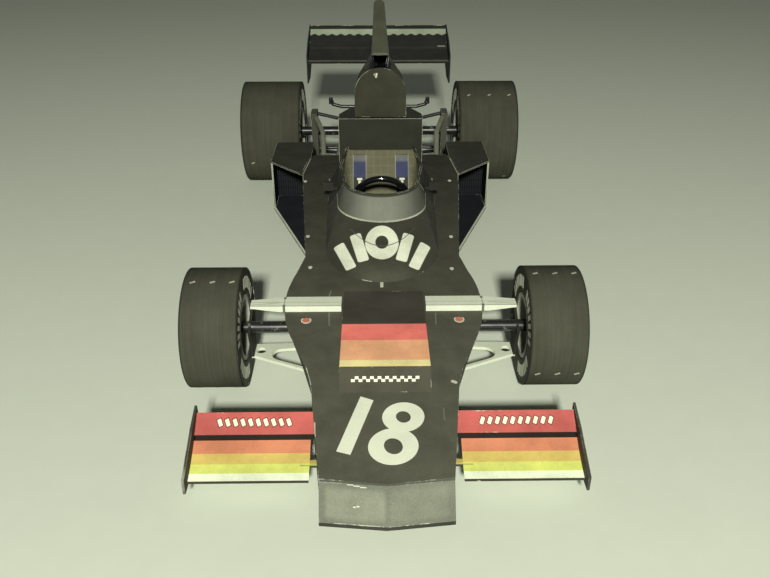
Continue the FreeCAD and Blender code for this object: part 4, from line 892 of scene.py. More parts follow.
def finished_mesh(shape: Shape, *finishes: Finish, outward: bool = True) -> bpy.types.Mesh:
    """Turns a bmesh into a mesh with its finishes.

    Args:
        shape: the bmesh, which is used up.
        finishes: one for each material index.
        outward: whether the faces are first turned to point out.

    Returns:
        The mesh.
    """
    if outward:
        bmesh.ops.recalc_face_normals(shape, faces=shape.faces)
    mesh = bpy.data.meshes.new("shape")
    shape.to_mesh(mesh)
    shape.free()
    for finish in finishes:
        mesh.materials.append(finish.material())
    return mesh


def dress(**looks: Finish) -> None:
    """Gives frame pieces a finish each, by the pieces' names."""
    for node, finish in looks.items():
        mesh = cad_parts[node].data
        mesh.materials.clear()
        mesh.materials.append(finish.material())
        log.info("finish %s on %s", finish.name, node)


class Ground:
    """The faces of frame pieces, for laying thin things on them."""

    def __init__(self, *nodes: str) -> None:
        """Reads the pieces' faces."""
        corners: list[Vector] = []
        faces: list[list[int]] = []
        for node in nodes:
            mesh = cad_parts[node].data
            faces += [[len(corners) + i for i in face.vertices] for face in mesh.polygons]
            corners += [v.co.copy() for v in mesh.vertices]
        self.faces = BVHTree.FromPolygons(corners, faces)

    def meet(self, start: Point, way: Point) -> tuple[Vector, Vector]:
        """Where a line first meets the pieces.

        Args:
            start: where the line starts, in millimetres.
            way: where it runs, one unit long.

        Returns:
            The place in millimetres, and the surface's normal there, turned against the line.
        """
        spot, out, _, _ = self.faces.ray_cast(in_metres(*start), Vector(way))
        if spot is None:
            raise ValueError(f"nothing lies along {way} from {start}")
        return spot / MM, out if out.dot(Vector(way)) < 0 else -out

    def height(self, x: float, y: float) -> float:
        """The height of the upper surface at a place in the plan, in millimetres."""
        return self.meet((x, y, 80.0), (0.0, 0.0, -1.0))[0].z


def close_sheet(shape: Shape, grid: Sequence[Sequence[tuple[Vert, Vert]]]) -> None:
    """Adds the faces of a thin closed sheet.

    Args:
        shape: what they are added to.
        grid: columns of places along the sheet, each with a corner on its one side and on its other.
    """
    last, top = len(grid) - 1, len(grid[0]) - 1
    for i in range(last):
        for j in range(top):
            ring = (grid[i][j], grid[i][j + 1], grid[i + 1][j + 1], grid[i + 1][j])
            shape.faces.new([pair[0] for pair in ring])
            shape.faces.new([pair[1] for pair in reversed(ring)])
    rim = [grid[i][0] for i in range(last)] + [grid[last][j] for j in range(top)]
    rim += [grid[i][top] for i in range(last, 0, -1)] + [grid[0][j] for j in range(top, 0, -1)]
    for (near, far), (next_near, next_far) in zip(rim, rim[1:] + rim[:1]):
        shape.faces.new((near, next_near, next_far, far))


@dataclass
class Print:
    """Thin closed slabs that lie on frame pieces, gathered into one piece."""

    ground: Ground
    lift: float
    depth: float = PRINT_DEPTH
    shape: Shape = field(default_factory=bmesh.new)

    def pair(self, x: float, y: float, more: float = 0.0) -> tuple[Vert, Vert]:
        """A corner on a slab's top and one under it, at a place in the plan."""
        top = self.ground.height(x, y) + self.lift + more
        return tuple(self.shape.verts.new(in_metres(x, y, z)) for z in (top, top - self.depth))

    def patch(self, corners: Sequence[Spot], steps: int = 6) -> None:
        """Lays a four-sided slab.

        Args:
            corners: its four corners in the plan, in order.
            steps: how many lengths follow the surface between the first side and the opposite one.
        """
        a, b, c, d = (Vector(corner) for corner in corners)
        sides = [(a.lerp(d, i / steps), b.lerp(c, i / steps)) for i in range(steps + 1)]
        close_sheet(self.shape, [[self.pair(*place) for place in side] for side in sides])

    def box(self, low: Spot, high: Spot, steps: int = 6) -> None:
        """Lays a slab with its sides along x and y, from two opposite corners in the plan."""
        self.patch((low, (high[0], low[1]), high, (low[0], high[1])), steps)

    def band(self, outer: Sequence[Spot], inner: Sequence[Spot], more: float = 0.0) -> None:
        """Lays a slab between two outlines.

        Args:
            outer: points of the outer line in the plan, in order.
            inner: as many points of the inner line.
            more: how much higher than the other slabs it stands.
        """
        outer_top, outer_low = zip(*(self.pair(x, y, more) for x, y in outer))
        inner_top, inner_low = zip(*(self.pair(x, y, more) for x, y in inner))
        walls = ((outer_top, inner_top), (outer_low, outer_top), (inner_low, outer_low),
                 (inner_top, inner_low))
        for i in range(len(outer)):
            j = (i + 1) % len(outer)
            for a, b in walls:
                self.shape.faces.new((a[i], a[j], b[j], b[i]))

    def add(self, name: str, finish: Finish, slot: str = PLAIN_SLOT) -> None:
        """Adds the slabs to the car as one piece."""
        add_piece(name, finished_mesh(self.shape, finish))


def ellipse(centre: Spot, radii: Spot, turn: float = 0.0, count: int = 56) -> list[Spot]:
    """Points round an ellipse.

    Args:
        centre: its middle.
        radii: its half width and half height before it is turned.
        turn: how far it is turned, in degrees.
        count: how many points there are.

    Returns:
        The points, in order.
    """
    cos_t, sin_t = math.cos(math.radians(turn)), math.sin(math.radians(turn))
    points = []
    for i in range(count):
        a = FULL_TURN * i / count
        x, y = radii[0] * math.cos(a), radii[1] * math.sin(a)
        points.append((centre[0] + x * cos_t - y * sin_t, centre[1] + x * sin_t + y * cos_t))
    return points


class Repeat(Group):
    """A geometry tree that sets one small shape many times, baked to a plain mesh."""

    kind = "GeometryNodeTree"
    outputs = (("Shapes", "Geometry"),)

    def set_out(self, net: Net, given: bpy.types.NodeOutputs) -> Socket:
        """Makes the nodes that set the shapes; what they give is still without a finish."""
        raise NotImplementedError

    def fill(self, net: Net, given: bpy.types.NodeOutputs) -> tuple[Socket, ...]:
        """The shapes, all with one finish."""
        dressed = net.add("GeometryNodeSetMaterial", self.set_out(net, given))
        net.put(dressed.inputs["Material"], given["Finish"])
        return (dressed.outputs[0],)

    @staticmethod
    def instances(net: Net, points: Socket, item: Node, chosen: Socket | None, turned: Node,
                  size: Socket) -> Socket:
        """Sets an item on points, as real geometry.

        Args:
            net: the tree.
            points: where.
            item: the node that makes the item.
            chosen: which points have one; None for all.
            turned: the node that gives the items' rotation.
            size: the items' scale.

        Returns:
            The geometry.
        """
        items = net.add("GeometryNodeInstanceOnPoints", points, chosen)
        net.put_all(items, {"Instance": item.outputs[0], "Rotation": turned.outputs[0], "Scale": size})
        return net.add("GeometryNodeRealizeInstances", items.outputs[0]).outputs[0]

    def bake(self, base: bpy.types.Mesh, values: dict[str, object]) -> bpy.types.Mesh:
        """Runs the tree on a mesh and keeps the result as a plain mesh.

        Args:
            base: the mesh that it starts from.
            values: what its named inputs take.

        Returns:
            The plain mesh.
        """
        holder = put_in_scene("tree_holder", base)
        modifier = holder.modifiers.new("tree", "NODES")
        modifier.node_group = self.tree()
        for socket in modifier.node_group.interface.items_tree:
            if socket.in_out == "INPUT" and socket.name in values:
                modifier[socket.identifier] = values[socket.name]
        evaluated = holder.evaluated_get(bpy.context.evaluated_depsgraph_get())
        mesh = bpy.data.meshes.new_from_object(evaluated)
        holder.modifiers.remove(modifier)
        bpy.data.objects.remove(holder)
        return mesh


class StudShape(Enum):
    """What a repeated stud is."""

    DISC = "disc"
    BAR = "bar"


class Studs(Repeat):
    """Many small discs or bars, each set at a point and turned its own way."""

    inputs = (("Points", "Geometry", None), ("Size", "Vector", None), ("Sides", "Int", None),
              ("Finish", "Material", None))

    def __init__(self, form: StudShape) -> None:
        """Keeps which stud it is."""
        self.form = form
        self.name = f"studs_{form.value}"

    def set_out(self, net: Net, given: bpy.types.NodeOutputs) -> Socket:
        """A stud on every point, turned by the point's own angles."""
        if self.form is StudShape.DISC:
            item = net.add("GeometryNodeMeshCylinder", given["Sides"])
            net.put_all(item, {"Radius": 0.5, "Depth": 1.0})
        else:
            item = net.add("GeometryNodeMeshCube", (1.0, 1.0, 1.0))
        turn = net.add("GeometryNodeInputNamedAttribute", "turn", data_type="FLOAT_VECTOR")
        turned = net.add("FunctionNodeEulerToRotation", turn.outputs[0])
        return self.instances(net, given["Points"], item, None, turned, given["Size"])

    def add(self, name: str, points: Sequence[Point], size: Point, finish: Finish,
            turns: Sequence[Point] = (), sides: int = 20, body: str = CHASSIS,
            slot: str = PLAIN_SLOT) -> None:
        """Sets the studs, bakes them and adds them as one piece.

        Args:
            name: the piece's name.
            points: where they are, in millimetres.
            size: their size along their own x, y and z.
            finish: what they are made of.
            turns: how each is turned, as angles in radians; none leaves them flat.
            sides: how many sides a disc has.
            body: the body that carries them.
            slot: not used.
        """
        base = bpy.data.meshes.new("stud_points")
        base.from_pydata([in_metres(*point) for point in points], [], [])
        angles = base.attributes.new("turn", "FLOAT_VECTOR", "POINT")
        for place, turn in zip(angles.data, turns):
            place.vector = turn
        values = {"Size": tuple(in_metres(*size)), "Sides": sides, "Finish": finish.material()}
        add_piece(name, self.bake(base, values), body)


class WheelRing(Repeat):
    """Blocks in a ring round an axle along x, in groups with gaps between them."""

    name = "wheel_ring"
    inputs = (("Points", "Geometry", None), ("Count", "Int", None), ("Ring Radius", "Float", None),
              ("Block", "Vector", None), ("Group", "Int", None), ("Filled", "Int", None),
              ("Centre", "Vector", None), ("Turn", "Float", None), ("Finish", "Material", None))

    def set_out(self, net: Net, given: bpy.types.NodeOutputs) -> Socket:
        """Blocks on a circle, every one facing out, some left out."""
        circle = net.add("GeometryNodeMeshCircle", given["Count"], given["Ring Radius"])
        index = net.add("GeometryNodeInputIndex").outputs[0]
        angle = net.times(net.math("DIVIDE", index, given["Count"]), FULL_TURN)
        turned = net.add("FunctionNodeEulerToRotation", net.join(0.0, 0.0, angle))
        filled = net.math("LESS_THAN", net.math("MODULO", index, given["Group"]), given["Filled"])
        cube = net.add("GeometryNodeMeshCube", (1.0, 1.0, 1.0))
        blocks = self.instances(net, circle.outputs[0], cube, filled, turned, given["Block"])
        spun = net.add("GeometryNodeTransform", blocks)
        net.put(spun.inputs["Rotation"], net.join(0.0, 0.0, given["Turn"]))
        stood = net.add("GeometryNodeTransform", spun.outputs[0])
        net.put_all(stood, {"Rotation": (0.0, math.pi / 2, 0.0), "Translation": given["Centre"]})
        return stood.outputs[0]

    def add(self, name: str, centre: Point, radius: float, block: Point, groups: tuple[int, int, int],
            finish: Finish, turn: float, body: str, slot: str) -> None:
        """Sets one ring, bakes it and adds it as a piece.

        Args:
            name: the piece's name.
            centre: the middle of the ring, in millimetres.
            radius: from the axle to the blocks' middles.
            block: a block's size outward, round the ring and along the axle.
            groups: how many places there are, places in a group, and how many of those hold a block.
            finish: what the blocks are made of.
            turn: how far the ring is turned, in degrees.
            body: the body that carries it.
            slot: not used.
        """
        count, group, filled = groups
        values = {"Count": count, "Ring Radius": radius * MM, "Block": tuple(in_metres(*block)),
                  "Group": group, "Filled": filled, "Centre": in_metres(*centre), "Turn": math.radians(turn),
                  "Finish": finish.material()}
        add_piece(name, self.bake(bpy.data.meshes.new("ring_start"), values), body)


# ---- Wheels ----
@dataclass
class Wheel:
    """One wheel: a tyre rolled from a card strip between two card discs, on its printed rim."""

    axle: str
    side: Side
    dash_rows: tuple[float, ...]
    lip: float = 0.38
    sink: float = 0.12
    round_off: float = 0.07
    clearance: float = 0.03
    shoulder: float = 0.25
    foot: float = 0.5
    hole_gap: float = 0.02
    columns: int = 112
    lap: float = 14.0
    seam: float = 335.0
    strip: float = 0.09
    least_step: float = 0.35
    dash: Point = (0.95, 0.34, 0.05)
    dash_places: Point = (-0.66, 0.04, 0.72)
    dash_lean: float = 24.0
    blocks: tuple[int, int, int] = (36, 9, 7)
    block_share: Spot = (0.46, 0.62)
    block_turn: float = 20.0
    nuts: tuple[int, int, int] = (5, 5, 5)
    nut_size: Point = (0.5, 0.5, 0.5)
    nut_share: float = 0.36
    nut_inset: float = 2.0
    nut_turn: float = 36.0
    tread: TyreCard = TyreCard("tyre_tread", ink=(0.066, 0.066, 0.050), blotches=0.10, dullness=0.70,
                               sheen=0.0)
    wall: TyreCard = TyreCard("tyre_side", ink=(0.055, 0.055, 0.045), tread=False, dullness=0.6)
    chalk: Card = Card("tyre_white", ink=(0.70, 0.72, 0.60), blotches=0.10)
    streak: Card = Card("tread_streak", ink=(0.36, 0.37, 0.29), blotches=0.2)
    nut: Card = Card("wheel_nut", ink=(0.16, 0.16, 0.14), blotches=0.2)
    name: str = field(init=False)
    body: str = field(init=False)
    centre: Vector = field(init=False)
    half: float = field(init=False)
    radius: float = field(init=False)
    rim_radius: float = field(init=False)

    def __post_init__(self) -> None:
        """Takes the wheel's place and sizes from the frame."""
        self.name = f"{self.axle}_{self.side.name.lower()}"
        self.body = f"{self.name}_wheel"
        low, high = box_mm(f"{self.name}_tyre")
        rim_low, rim_high = box_mm(f"{self.name}_rim")
        self.centre = (low + high) / 2
        self.half = (high.x - low.x) / 2
        self.radius = (high.z - low.z) / 2
        self.rim_radius = (rim_high.z - rim_low.z) / 2

    def section(self) -> list[tuple[float, float, int]]:
        """Points (across, out, finish) round the tyre's section, its finish being the next face's."""
        h, r, hole = self.half, self.radius - self.clearance, self.rim_radius + self.hole_gap
        wall, shoulder, foot = r - self.lip, hole + self.shoulder, h - self.foot
        sunk, step = h - self.sink, self.round_off
        return [(-foot, hole, 1), (-sunk, shoulder, 1), (-sunk, wall, 1), (-h, wall, 1),
                (-h, r - step, 0), (-h + step, r, 0), (h - step, r, 0), (h, r - step, 1),
                (h, wall, 1), (sunk, wall, 1), (sunk, shoulder, 1), (foot, hole, 1)]

    def depth(self, angle: float) -> float:
        """How far the strip lies under its lapped end, at an angle in degrees."""
        past = (angle - self.seam) % 360.0
        if past < self.lap:
            return 0.0
        return self.strip * min(1.0, (past - self.lap) / (360.0 - self.lap) + self.least_step)

    def make_tyre(self) -> None:
        """Rolls the tyre and maps it: u round the wheel, v across the tread or out along a side."""
        shape = bmesh.new()
        lay = shape.loops.layers.uv.new("lay")
        section = self.section()
        rings = []
        for i in range(self.columns):
            angle = 360.0 * i / self.columns
            rolled = [(across, out - (self.depth(angle) if out > self.radius - 0.5 else 0.0))
                      for across, out, _ in section]
            rings.append([shape.verts.new(in_metres(*self.at(across, out, angle))) for across, out in rolled])
        for i in range(self.columns):
            j = (i + 1) % self.columns
            for k, (across, out, finish) in enumerate(section):
                m = (k + 1) % len(section)
                face = shape.faces.new((rings[i][k], rings[j][k], rings[j][m], rings[i][m]))
                face.material_index = finish
                face.smooth = finish == 0
                v0, v1 = ((p[0] + self.half) / (2 * self.half) if finish == 0 else p[1] / self.radius
                          for p in ((across, out), section[m]))
                for loop, u, v in zip(face.loops, (i, i + 1, i + 1, i), (v0, v0, v1, v1)):
                    loop[lay].uv = (u / self.columns, v)
        mesh = finished_mesh(shape, self.tread, self.wall)
        add_piece(f"{self.name}_card_tyre", mesh, self.body, (f"{self.name}_tyre",))

    def at(self, across: float, out: float, angle: float) -> Point:
        """A point by its place along the axle, its distance from it and its angle in degrees."""
        a = math.radians(angle)
        return self.centre.x + across, self.centre.y + out * math.cos(a), self.centre.z + out * math.sin(a)

    def make_marks(self) -> None:
        """Rows of three short slanted dashes across the tread, and white blocks on both sides."""
        points, turns = [], []
        for row in self.dash_rows:
            stood = Matrix.Rotation(math.radians(90.0 - row), 3, "X")
            lean = stood @ Matrix.Rotation(math.radians(self.dash_lean), 3, "Z")
            points += [self.at(place * self.half, self.radius - self.clearance, 180.0 - row)
                       for place in self.dash_places]
            turns += [tuple(lean.to_euler())] * len(self.dash_places)
        Studs(StudShape.BAR).add(f"{self.name}_tread_dashes", points, self.dash, self.streak, turns,
                                 body=self.body, slot="tyre_card")
        outer, inner = self.radius - self.lip, self.rim_radius
        middle = (inner + outer) / 2
        tall, wide = self.block_share
        block = ((outer - inner) * tall, FULL_TURN * middle / self.blocks[0] * wide, PRINT_DEPTH)
        for face, sign in (("out", self.side.value), ("in", -self.side.value)):
            centre = (self.centre.x + sign * (self.half - self.sink), self.centre.y, self.centre.z)
            WheelRing().add(f"{self.name}_side_blocks_{face}", centre, middle, block, self.blocks, self.chalk,
                            self.block_turn, self.body, "tyre_card")

    def make_hub(self) -> None:
        """Rim finish, with a ring of nuts round the axle's end."""
        x, y, z = self.centre
        finish = RimCard(f"{self.axle}_rim_print", ink=(0.46, 0.47, 0.41), dullness=0.42, rub=0.5,
                         centre=(y, z), radius=self.rim_radius)
        dress(**{f"{self.name}_rim": finish})
        centre = (x + self.side.value * (self.half - self.nut_inset), y, z)
        WheelRing().add(f"{self.name}_wheel_nuts", centre, self.rim_radius * self.nut_share, self.nut_size,
                        self.nuts, self.nut, self.nut_turn, self.body, "rim_card")

    def build(self) -> None:
        """Makes the whole wheel."""
        self.make_tyre()
        self.make_marks()
        self.make_hub()


# ---- Body ----
RED: Rgb = (0.52, 0.12, 0.11)
RED_EDGE: Rgb = (0.16, 0.03, 0.03)
WHITE: Rgb = (0.82, 0.87, 0.67)
RAMP_RED: Rgb = (0.97, 0.235, 0.20)
RAMP_ORANGE: Rgb = (0.98, 0.49, 0.28)
RAMP_YELLOW: Rgb = (0.98, 0.84, 0.42)
RAMP_BLACK: Rgb = (0.067, 0.061, 0.046)
WING_ORANGE: Rgb = (0.60, 0.225, 0.13)
WING_AMBER: Rgb = (0.62, 0.46, 0.14)
WING_YELLOW: Rgb = (0.64, 0.67, 0.17)
TUB_INK: Rgb = (0.050, 0.049, 0.040)
DIM_INK: Rgb = (0.045, 0.045, 0.038)
DARK_INK: Rgb = (0.030, 0.030, 0.026)
PALE_INK: Rgb = (0.4, 0.4, 0.35)
# painted shade in the notch where the arms fold over the deck's edge
CREASE_SHADE: Rgb = (0.05, 0.05, 0.045)
SEAM_PRINT: Rgb = (0.06, 0.06, 0.05)
PORT_PRINT: Rgb = (0.07, 0.07, 0.06)
# pale thin streaks on the deck beside the front arms
PALE_STREAK: Rgb = (0.20, 0.20, 0.17)
HIP_EDGE: Rgb = (0.26, 0.27, 0.23)
HIP_WORN: Rgb = (0.36, 0.37, 0.32)


@dataclass
class Nose:
    """Nose, ramp and front wing: bands, the plain number and the grey front face."""

    one: tuple[Spot, ...] = ((-4.02, -74.0), (-1.93, -74.9), (-5.4, -86.1), (-7.53, -85.4))
    eight: tuple[tuple[Spot, Spot, Spot], ...] = (((1.05, -84.5), (3.85, 3.55), (1.4, 1.6)),
                                                  ((2.75, -78.55), (3.35, 3.1), (1.15, 1.25)))
    eight_lean: float = 20.0
    lift: float = 0.03
    overlap: float = 0.006
    square: Spot = (0.62, 0.30)
    chequer: tuple[int, int] = (18, 2)
    chequer_start: float = 1.15
    slot_lean: float = 38.0
    slot_shadow_strip: Spot = (1.7, 0.08)
    flecks: tuple[Spot, ...] = ((-5.3, -0.12), (-4.4, -0.22), (-3.4, -0.32))
    chips: tuple[Spot, ...] = ((-4.2, 5.0), (-4.7, 4.9))
    ramp: BandedCard = BandedCard(
        "ramp_print", rub=0.3, start=-80.0, end=-40.0, under=BLACK, front=BLACK,
        bands=((-80.0, RAMP_BLACK), (-70.3, RAMP_YELLOW), (-68.4, RAMP_ORANGE), (-62.2, RAMP_RED),
               (-56.9, BLACK)))
    # front=BLACK colours the wings' forward-facing leading edges black: painted shadow under the leading edge
    wing: BandedCard = BandedCard(
        "wing_print", rub=0.15, start=-90.0, end=-78.0, dullness=0.42, front=BLACK,
        bands=((-90.0, BLACK), (-87.4, WHITE), (-86.15, WING_YELLOW), (-84.65, WING_AMBER),
               (-83.0, WING_ORANGE)))
    flap: MarkedCard = MarkedCard(
        "flap_print", ink=RED, rub=0.3, dullness=0.42, soft=0.04, mirrored=True, bare_below=True,
        marks=tuple(Mark((15.2 + 1.2 * i, -78.6), half, 0.1, 24.0, colour) for i in range(10)
                    for half, colour in (((0.42, 0.66), RED_EDGE), ((0.30, 0.54), WHITE))))
    face: MarkedCard = MarkedCard(
        "nose_face_print", ink=(0.155, 0.160, 0.130), rub=0.45, blotches=0.14, fibre=0.2, axes="XZ", soft=0.4,
        marks=(Mark((-4.6, 5.15), (4.3, 1.75), 0.5, 0.0, (0.215, 0.222, 0.175)),
               Mark((4.6, 5.15), (4.3, 1.75), 0.5, 0.0, (0.185, 0.19, 0.15))))
    lip: Card = Card("lip_card", ink=DIM_INK, rub=0.25)
    fleck: Card = Card("torn_card", ink=CORE, blotches=0.3, rub=0.0)
    # near-black card for the strips under the wings' slots: painted shadow
    slot_shadow: Card = Card("slot_shadow_card", ink=(0.020, 0.016, 0.013), rub=0.0)
    plate: Card = Card("endplate_card", core=(0.28, 0.29, 0.24), sheet=Sheet.LENGTHWISE, rub=0.5)
    number: Card = Card("number_print", ink=CREAM, blotches=0.06, fibre=0.05, rub=0.0)

    def build(self) -> None:
        """Dresses the pieces, lays painted shadow strips under the wings' slots and lays what is printed on
        the nose.
        """
        dress(nose_ramp=self.ramp, front_wing_left=self.wing, front_wing_right=self.wing,
              front_flaps=self.flap, nose_face=self.face, nose_lip=self.lip, front_endplates=self.plate)
        self.lay_slot_shadows()
        self.lay_chequer()
        self.lay_flecks()
        self.lay_number()

    def lay_slot_shadows(self) -> None:
        """A dark strip under the slot between each wing and its flap, from the nose to the endplate: painted
        shadow seen through the slot.
        """
        wing_low, wing_high = box_mm("front_wing_left")
        flap_low, flap_high = box_mm("front_flaps")
        middle, reach = (wing_low.x + flap_high.x) / 2 + 0.3, flap_high.x - wing_low.x - 0.8
        place = ((wing_high.y + flap_low.y) / 2 + 0.15, wing_high.z - 0.25)
        points = [(side.value * middle, *place) for side in Side]
        turns = [(math.radians(self.slot_lean), 0.0, 0.0)] * len(points)
        Studs(StudShape.BAR).add("wing_slot_shadow_strips", points, (reach, *self.slot_shadow_strip), self.slot_shadow, turns)

    def lay_chequer(self) -> None:
        """Two rows of white squares across the sloping front of the raised box."""
        front, squares = box_mm("nose_ramp")[0].y + self.chequer_start, Print(Ground("nose_ramp"), 0.04)
        wide, tall = self.square
        columns, rows = self.chequer
        for row in range(rows):
            for column in range(row, columns, 2):
                x, y = (column - columns / 2) * wide, front + row * tall
                squares.box((x, y), (x + wide, y + tall), 1)
        squares.add("ramp_chequer", self.number)

    def lay_flecks(self) -> None:
        """Torn white flecks where the nose face is folded and scuffed."""
        fold, ground = box_mm("nose_face")[1].z, Ground("nose_face", "nose_lip")
        for name, spots, foot, size in (("nose_fold_flecks", self.flecks, fold, (0.9, 0.14, 0.06)),
                                        ("nose_chips", self.chips, 0.0, (0.42, 0.2, 0.06))):
            met = [ground.meet((x, -150.0, foot + z), (0.0, 1.0, 0.0)) for x, z in spots]
            Studs(StudShape.BAR).add(name, [spot for spot, _ in met], size, self.fleck,
                                     [standing(out) for _, out in met])

    def lay_number(self) -> None:
        """The number on the deck: a leaning bar, and two rings of which one laps the other."""
        number = Print(Ground("deck"), self.lift)
        number.patch(self.one)
        for step, (centre, outer, hole) in enumerate(self.eight):
            lines = (ellipse(centre, radii, self.eight_lean) for radii in (outer, hole))
            number.band(*lines, self.overlap * step)
        number.add("race_number", self.number)


@dataclass
class Deck:
    """The tub's upper sheet and sides, with fasteners, dots and scuffs."""

    fasteners: tuple[Spot, ...] = ((-18.6, 6.2), (-16.0, -22.4), (-14.6, -35.6),
                                   (17.0, 6.2), (14.9, -22.9), (13.9, -36.4))
    dots: tuple[Spot, ...] = ((-14.1, -54.5), (13.7, -54.5))
    tab: tuple[Spot, Spot] = ((-0.55, -43.3), (0.05, -41.6))
    rivets: int = 26
    rivet_start: float = -88.0
    rivet_pitch: float = 4.3
    rear_rivets: int = 9
    rear_pitch: float = 3.5
    # the deck's ink goes from 1.25 at the nose to 0.52 at the rear: painted light falloff
    top: MarkedCard = MarkedCard(
        "deck_card", painted_light_falloff=(-85.0, 25.0, 1.25, 0.52), ink=(0.080, 0.078, 0.060), sheet=Sheet.LEVEL, rub=0.42,
        marks=(Mark((-10.15, -45.4), (0.10, 1.0), 0.08, 8.0, (0.22, 0.22, 0.19)),
               Mark((-9.95, -54.0), (0.10, 2.2), 0.08, -3.0, PALE_STREAK),
               Mark((9.45, -54.2), (0.10, 1.9), 0.08, 3.0, PALE_STREAK),
               Mark((11.4, -70.8), (0.55, 0.30), 0.25, 30.0, (0.55, 0.56, 0.48)),
               Mark((9.2, -78.0), (0.10, 1.4), 0.08, 0.0, (0.17, 0.17, 0.14)),
               Mark((-12.75, -69.2), (0.09, 2.1), 0.08, -14.0, CORE),
               Mark((-11.0, -81.0), (0.09, 1.5), 0.08, -4.0, CORE),
               *(Mark((side * x, y), half, 0.08, side * turn, colour) for side in (-1, 1)
                 for x, y, half, turn, colour in ((19.30, 8.2, (0.11, 2.0), 5.1, HIP_EDGE),
                                                  (18.93, 16.2, (0.12, 5.8), -5.6, HIP_WORN)))))
    side: MarkedCard = MarkedCard(
        "tub_card", ink=TUB_INK, axes="YZ",
        marks=(Mark((-30.0, 9.4), (11.0, 0.06)), Mark((-41.0, 7.0), (0.06, 3.4)),
               Mark((-19.0, 7.6), (0.06, 4.4))))
    floor: MarkedCard = MarkedCard(
        "floor_card", ink=TUB_INK, sheet=Sheet.LEVEL, bare=0.4,
        marks=(Mark((0.0, -70.0), (10.0, 0.06)), Mark((0.0, -40.0), (14.0, 0.06)),
               Mark((0.0, 4.0), (17.0, 0.06)), Mark((0.0, -20.0), (0.06, 36.0))))
    metal: Card = Card("fastener_print", ink=(0.62, 0.64, 0.55), rub=0.0)
    orange: Card = Card("dot_print", ink=(0.62, 0.20, 0.12), rub=0.0)
    rivet: Card = Card("rivet_print", ink=(0.16, 0.16, 0.135), rub=0.0)

    def build(self) -> None:
        """Dresses the tub and sets what is printed on it."""
        dress(deck=self.top, tub_side_left=self.side, tub_side_right=self.side, rear_bulkhead=self.side,
              floor_pan=self.floor)
        ground, studs = Ground("deck"), Studs(StudShape.DISC)
        for name, spots, size, finish in (("deck_fasteners", self.fasteners, (0.85, 1.15, 0.08), self.metal),
                                          ("deck_dot_rims", self.dots, (1.9, 2.1, 0.07), self.metal),
                                          ("deck_dots", self.dots, (1.45, 1.6, 0.10), self.orange)):
            studs.add(name, [(x, y, ground.height(x, y)) for x, y in spots], size, finish)
        self.rivet_sides(studs)
        tab = Print(ground, 0.08, 0.1)
        tab.box(*self.tab)
        tab.add("cowl_tab", self.metal, "white_card")

    def rivet_sides(self, studs: Studs) -> None:
        """Rows of flat rivets along the foot of the tub's sides and across its rear bulkhead."""
        ground, foot = Ground("tub_side_left", "tub_side_right"), box_mm("floor_pan")[1].z + 1.1
        points, turns = [], []
        for side in Side:
            for i in range(self.rivets):
                start = (side.value * 60.0, self.rivet_start + self.rivet_pitch * i, foot)
                spot, out = ground.meet(start, (-side.value, 0.0, 0.0))
                points.append(spot)
                turns.append(standing(out))
        rear, first = box_mm("rear_bulkhead")[1].y, -self.rear_pitch * (self.rear_rivets - 1) / 2
        points += [(first + self.rear_pitch * i, rear, foot) for i in range(self.rear_rivets)]
        turns += [(-math.pi / 2, 0.0, 0.0)] * self.rear_rivets
        studs.add("tub_rivets", points, (0.42, 0.42, 0.10), self.rivet, turns, 10)


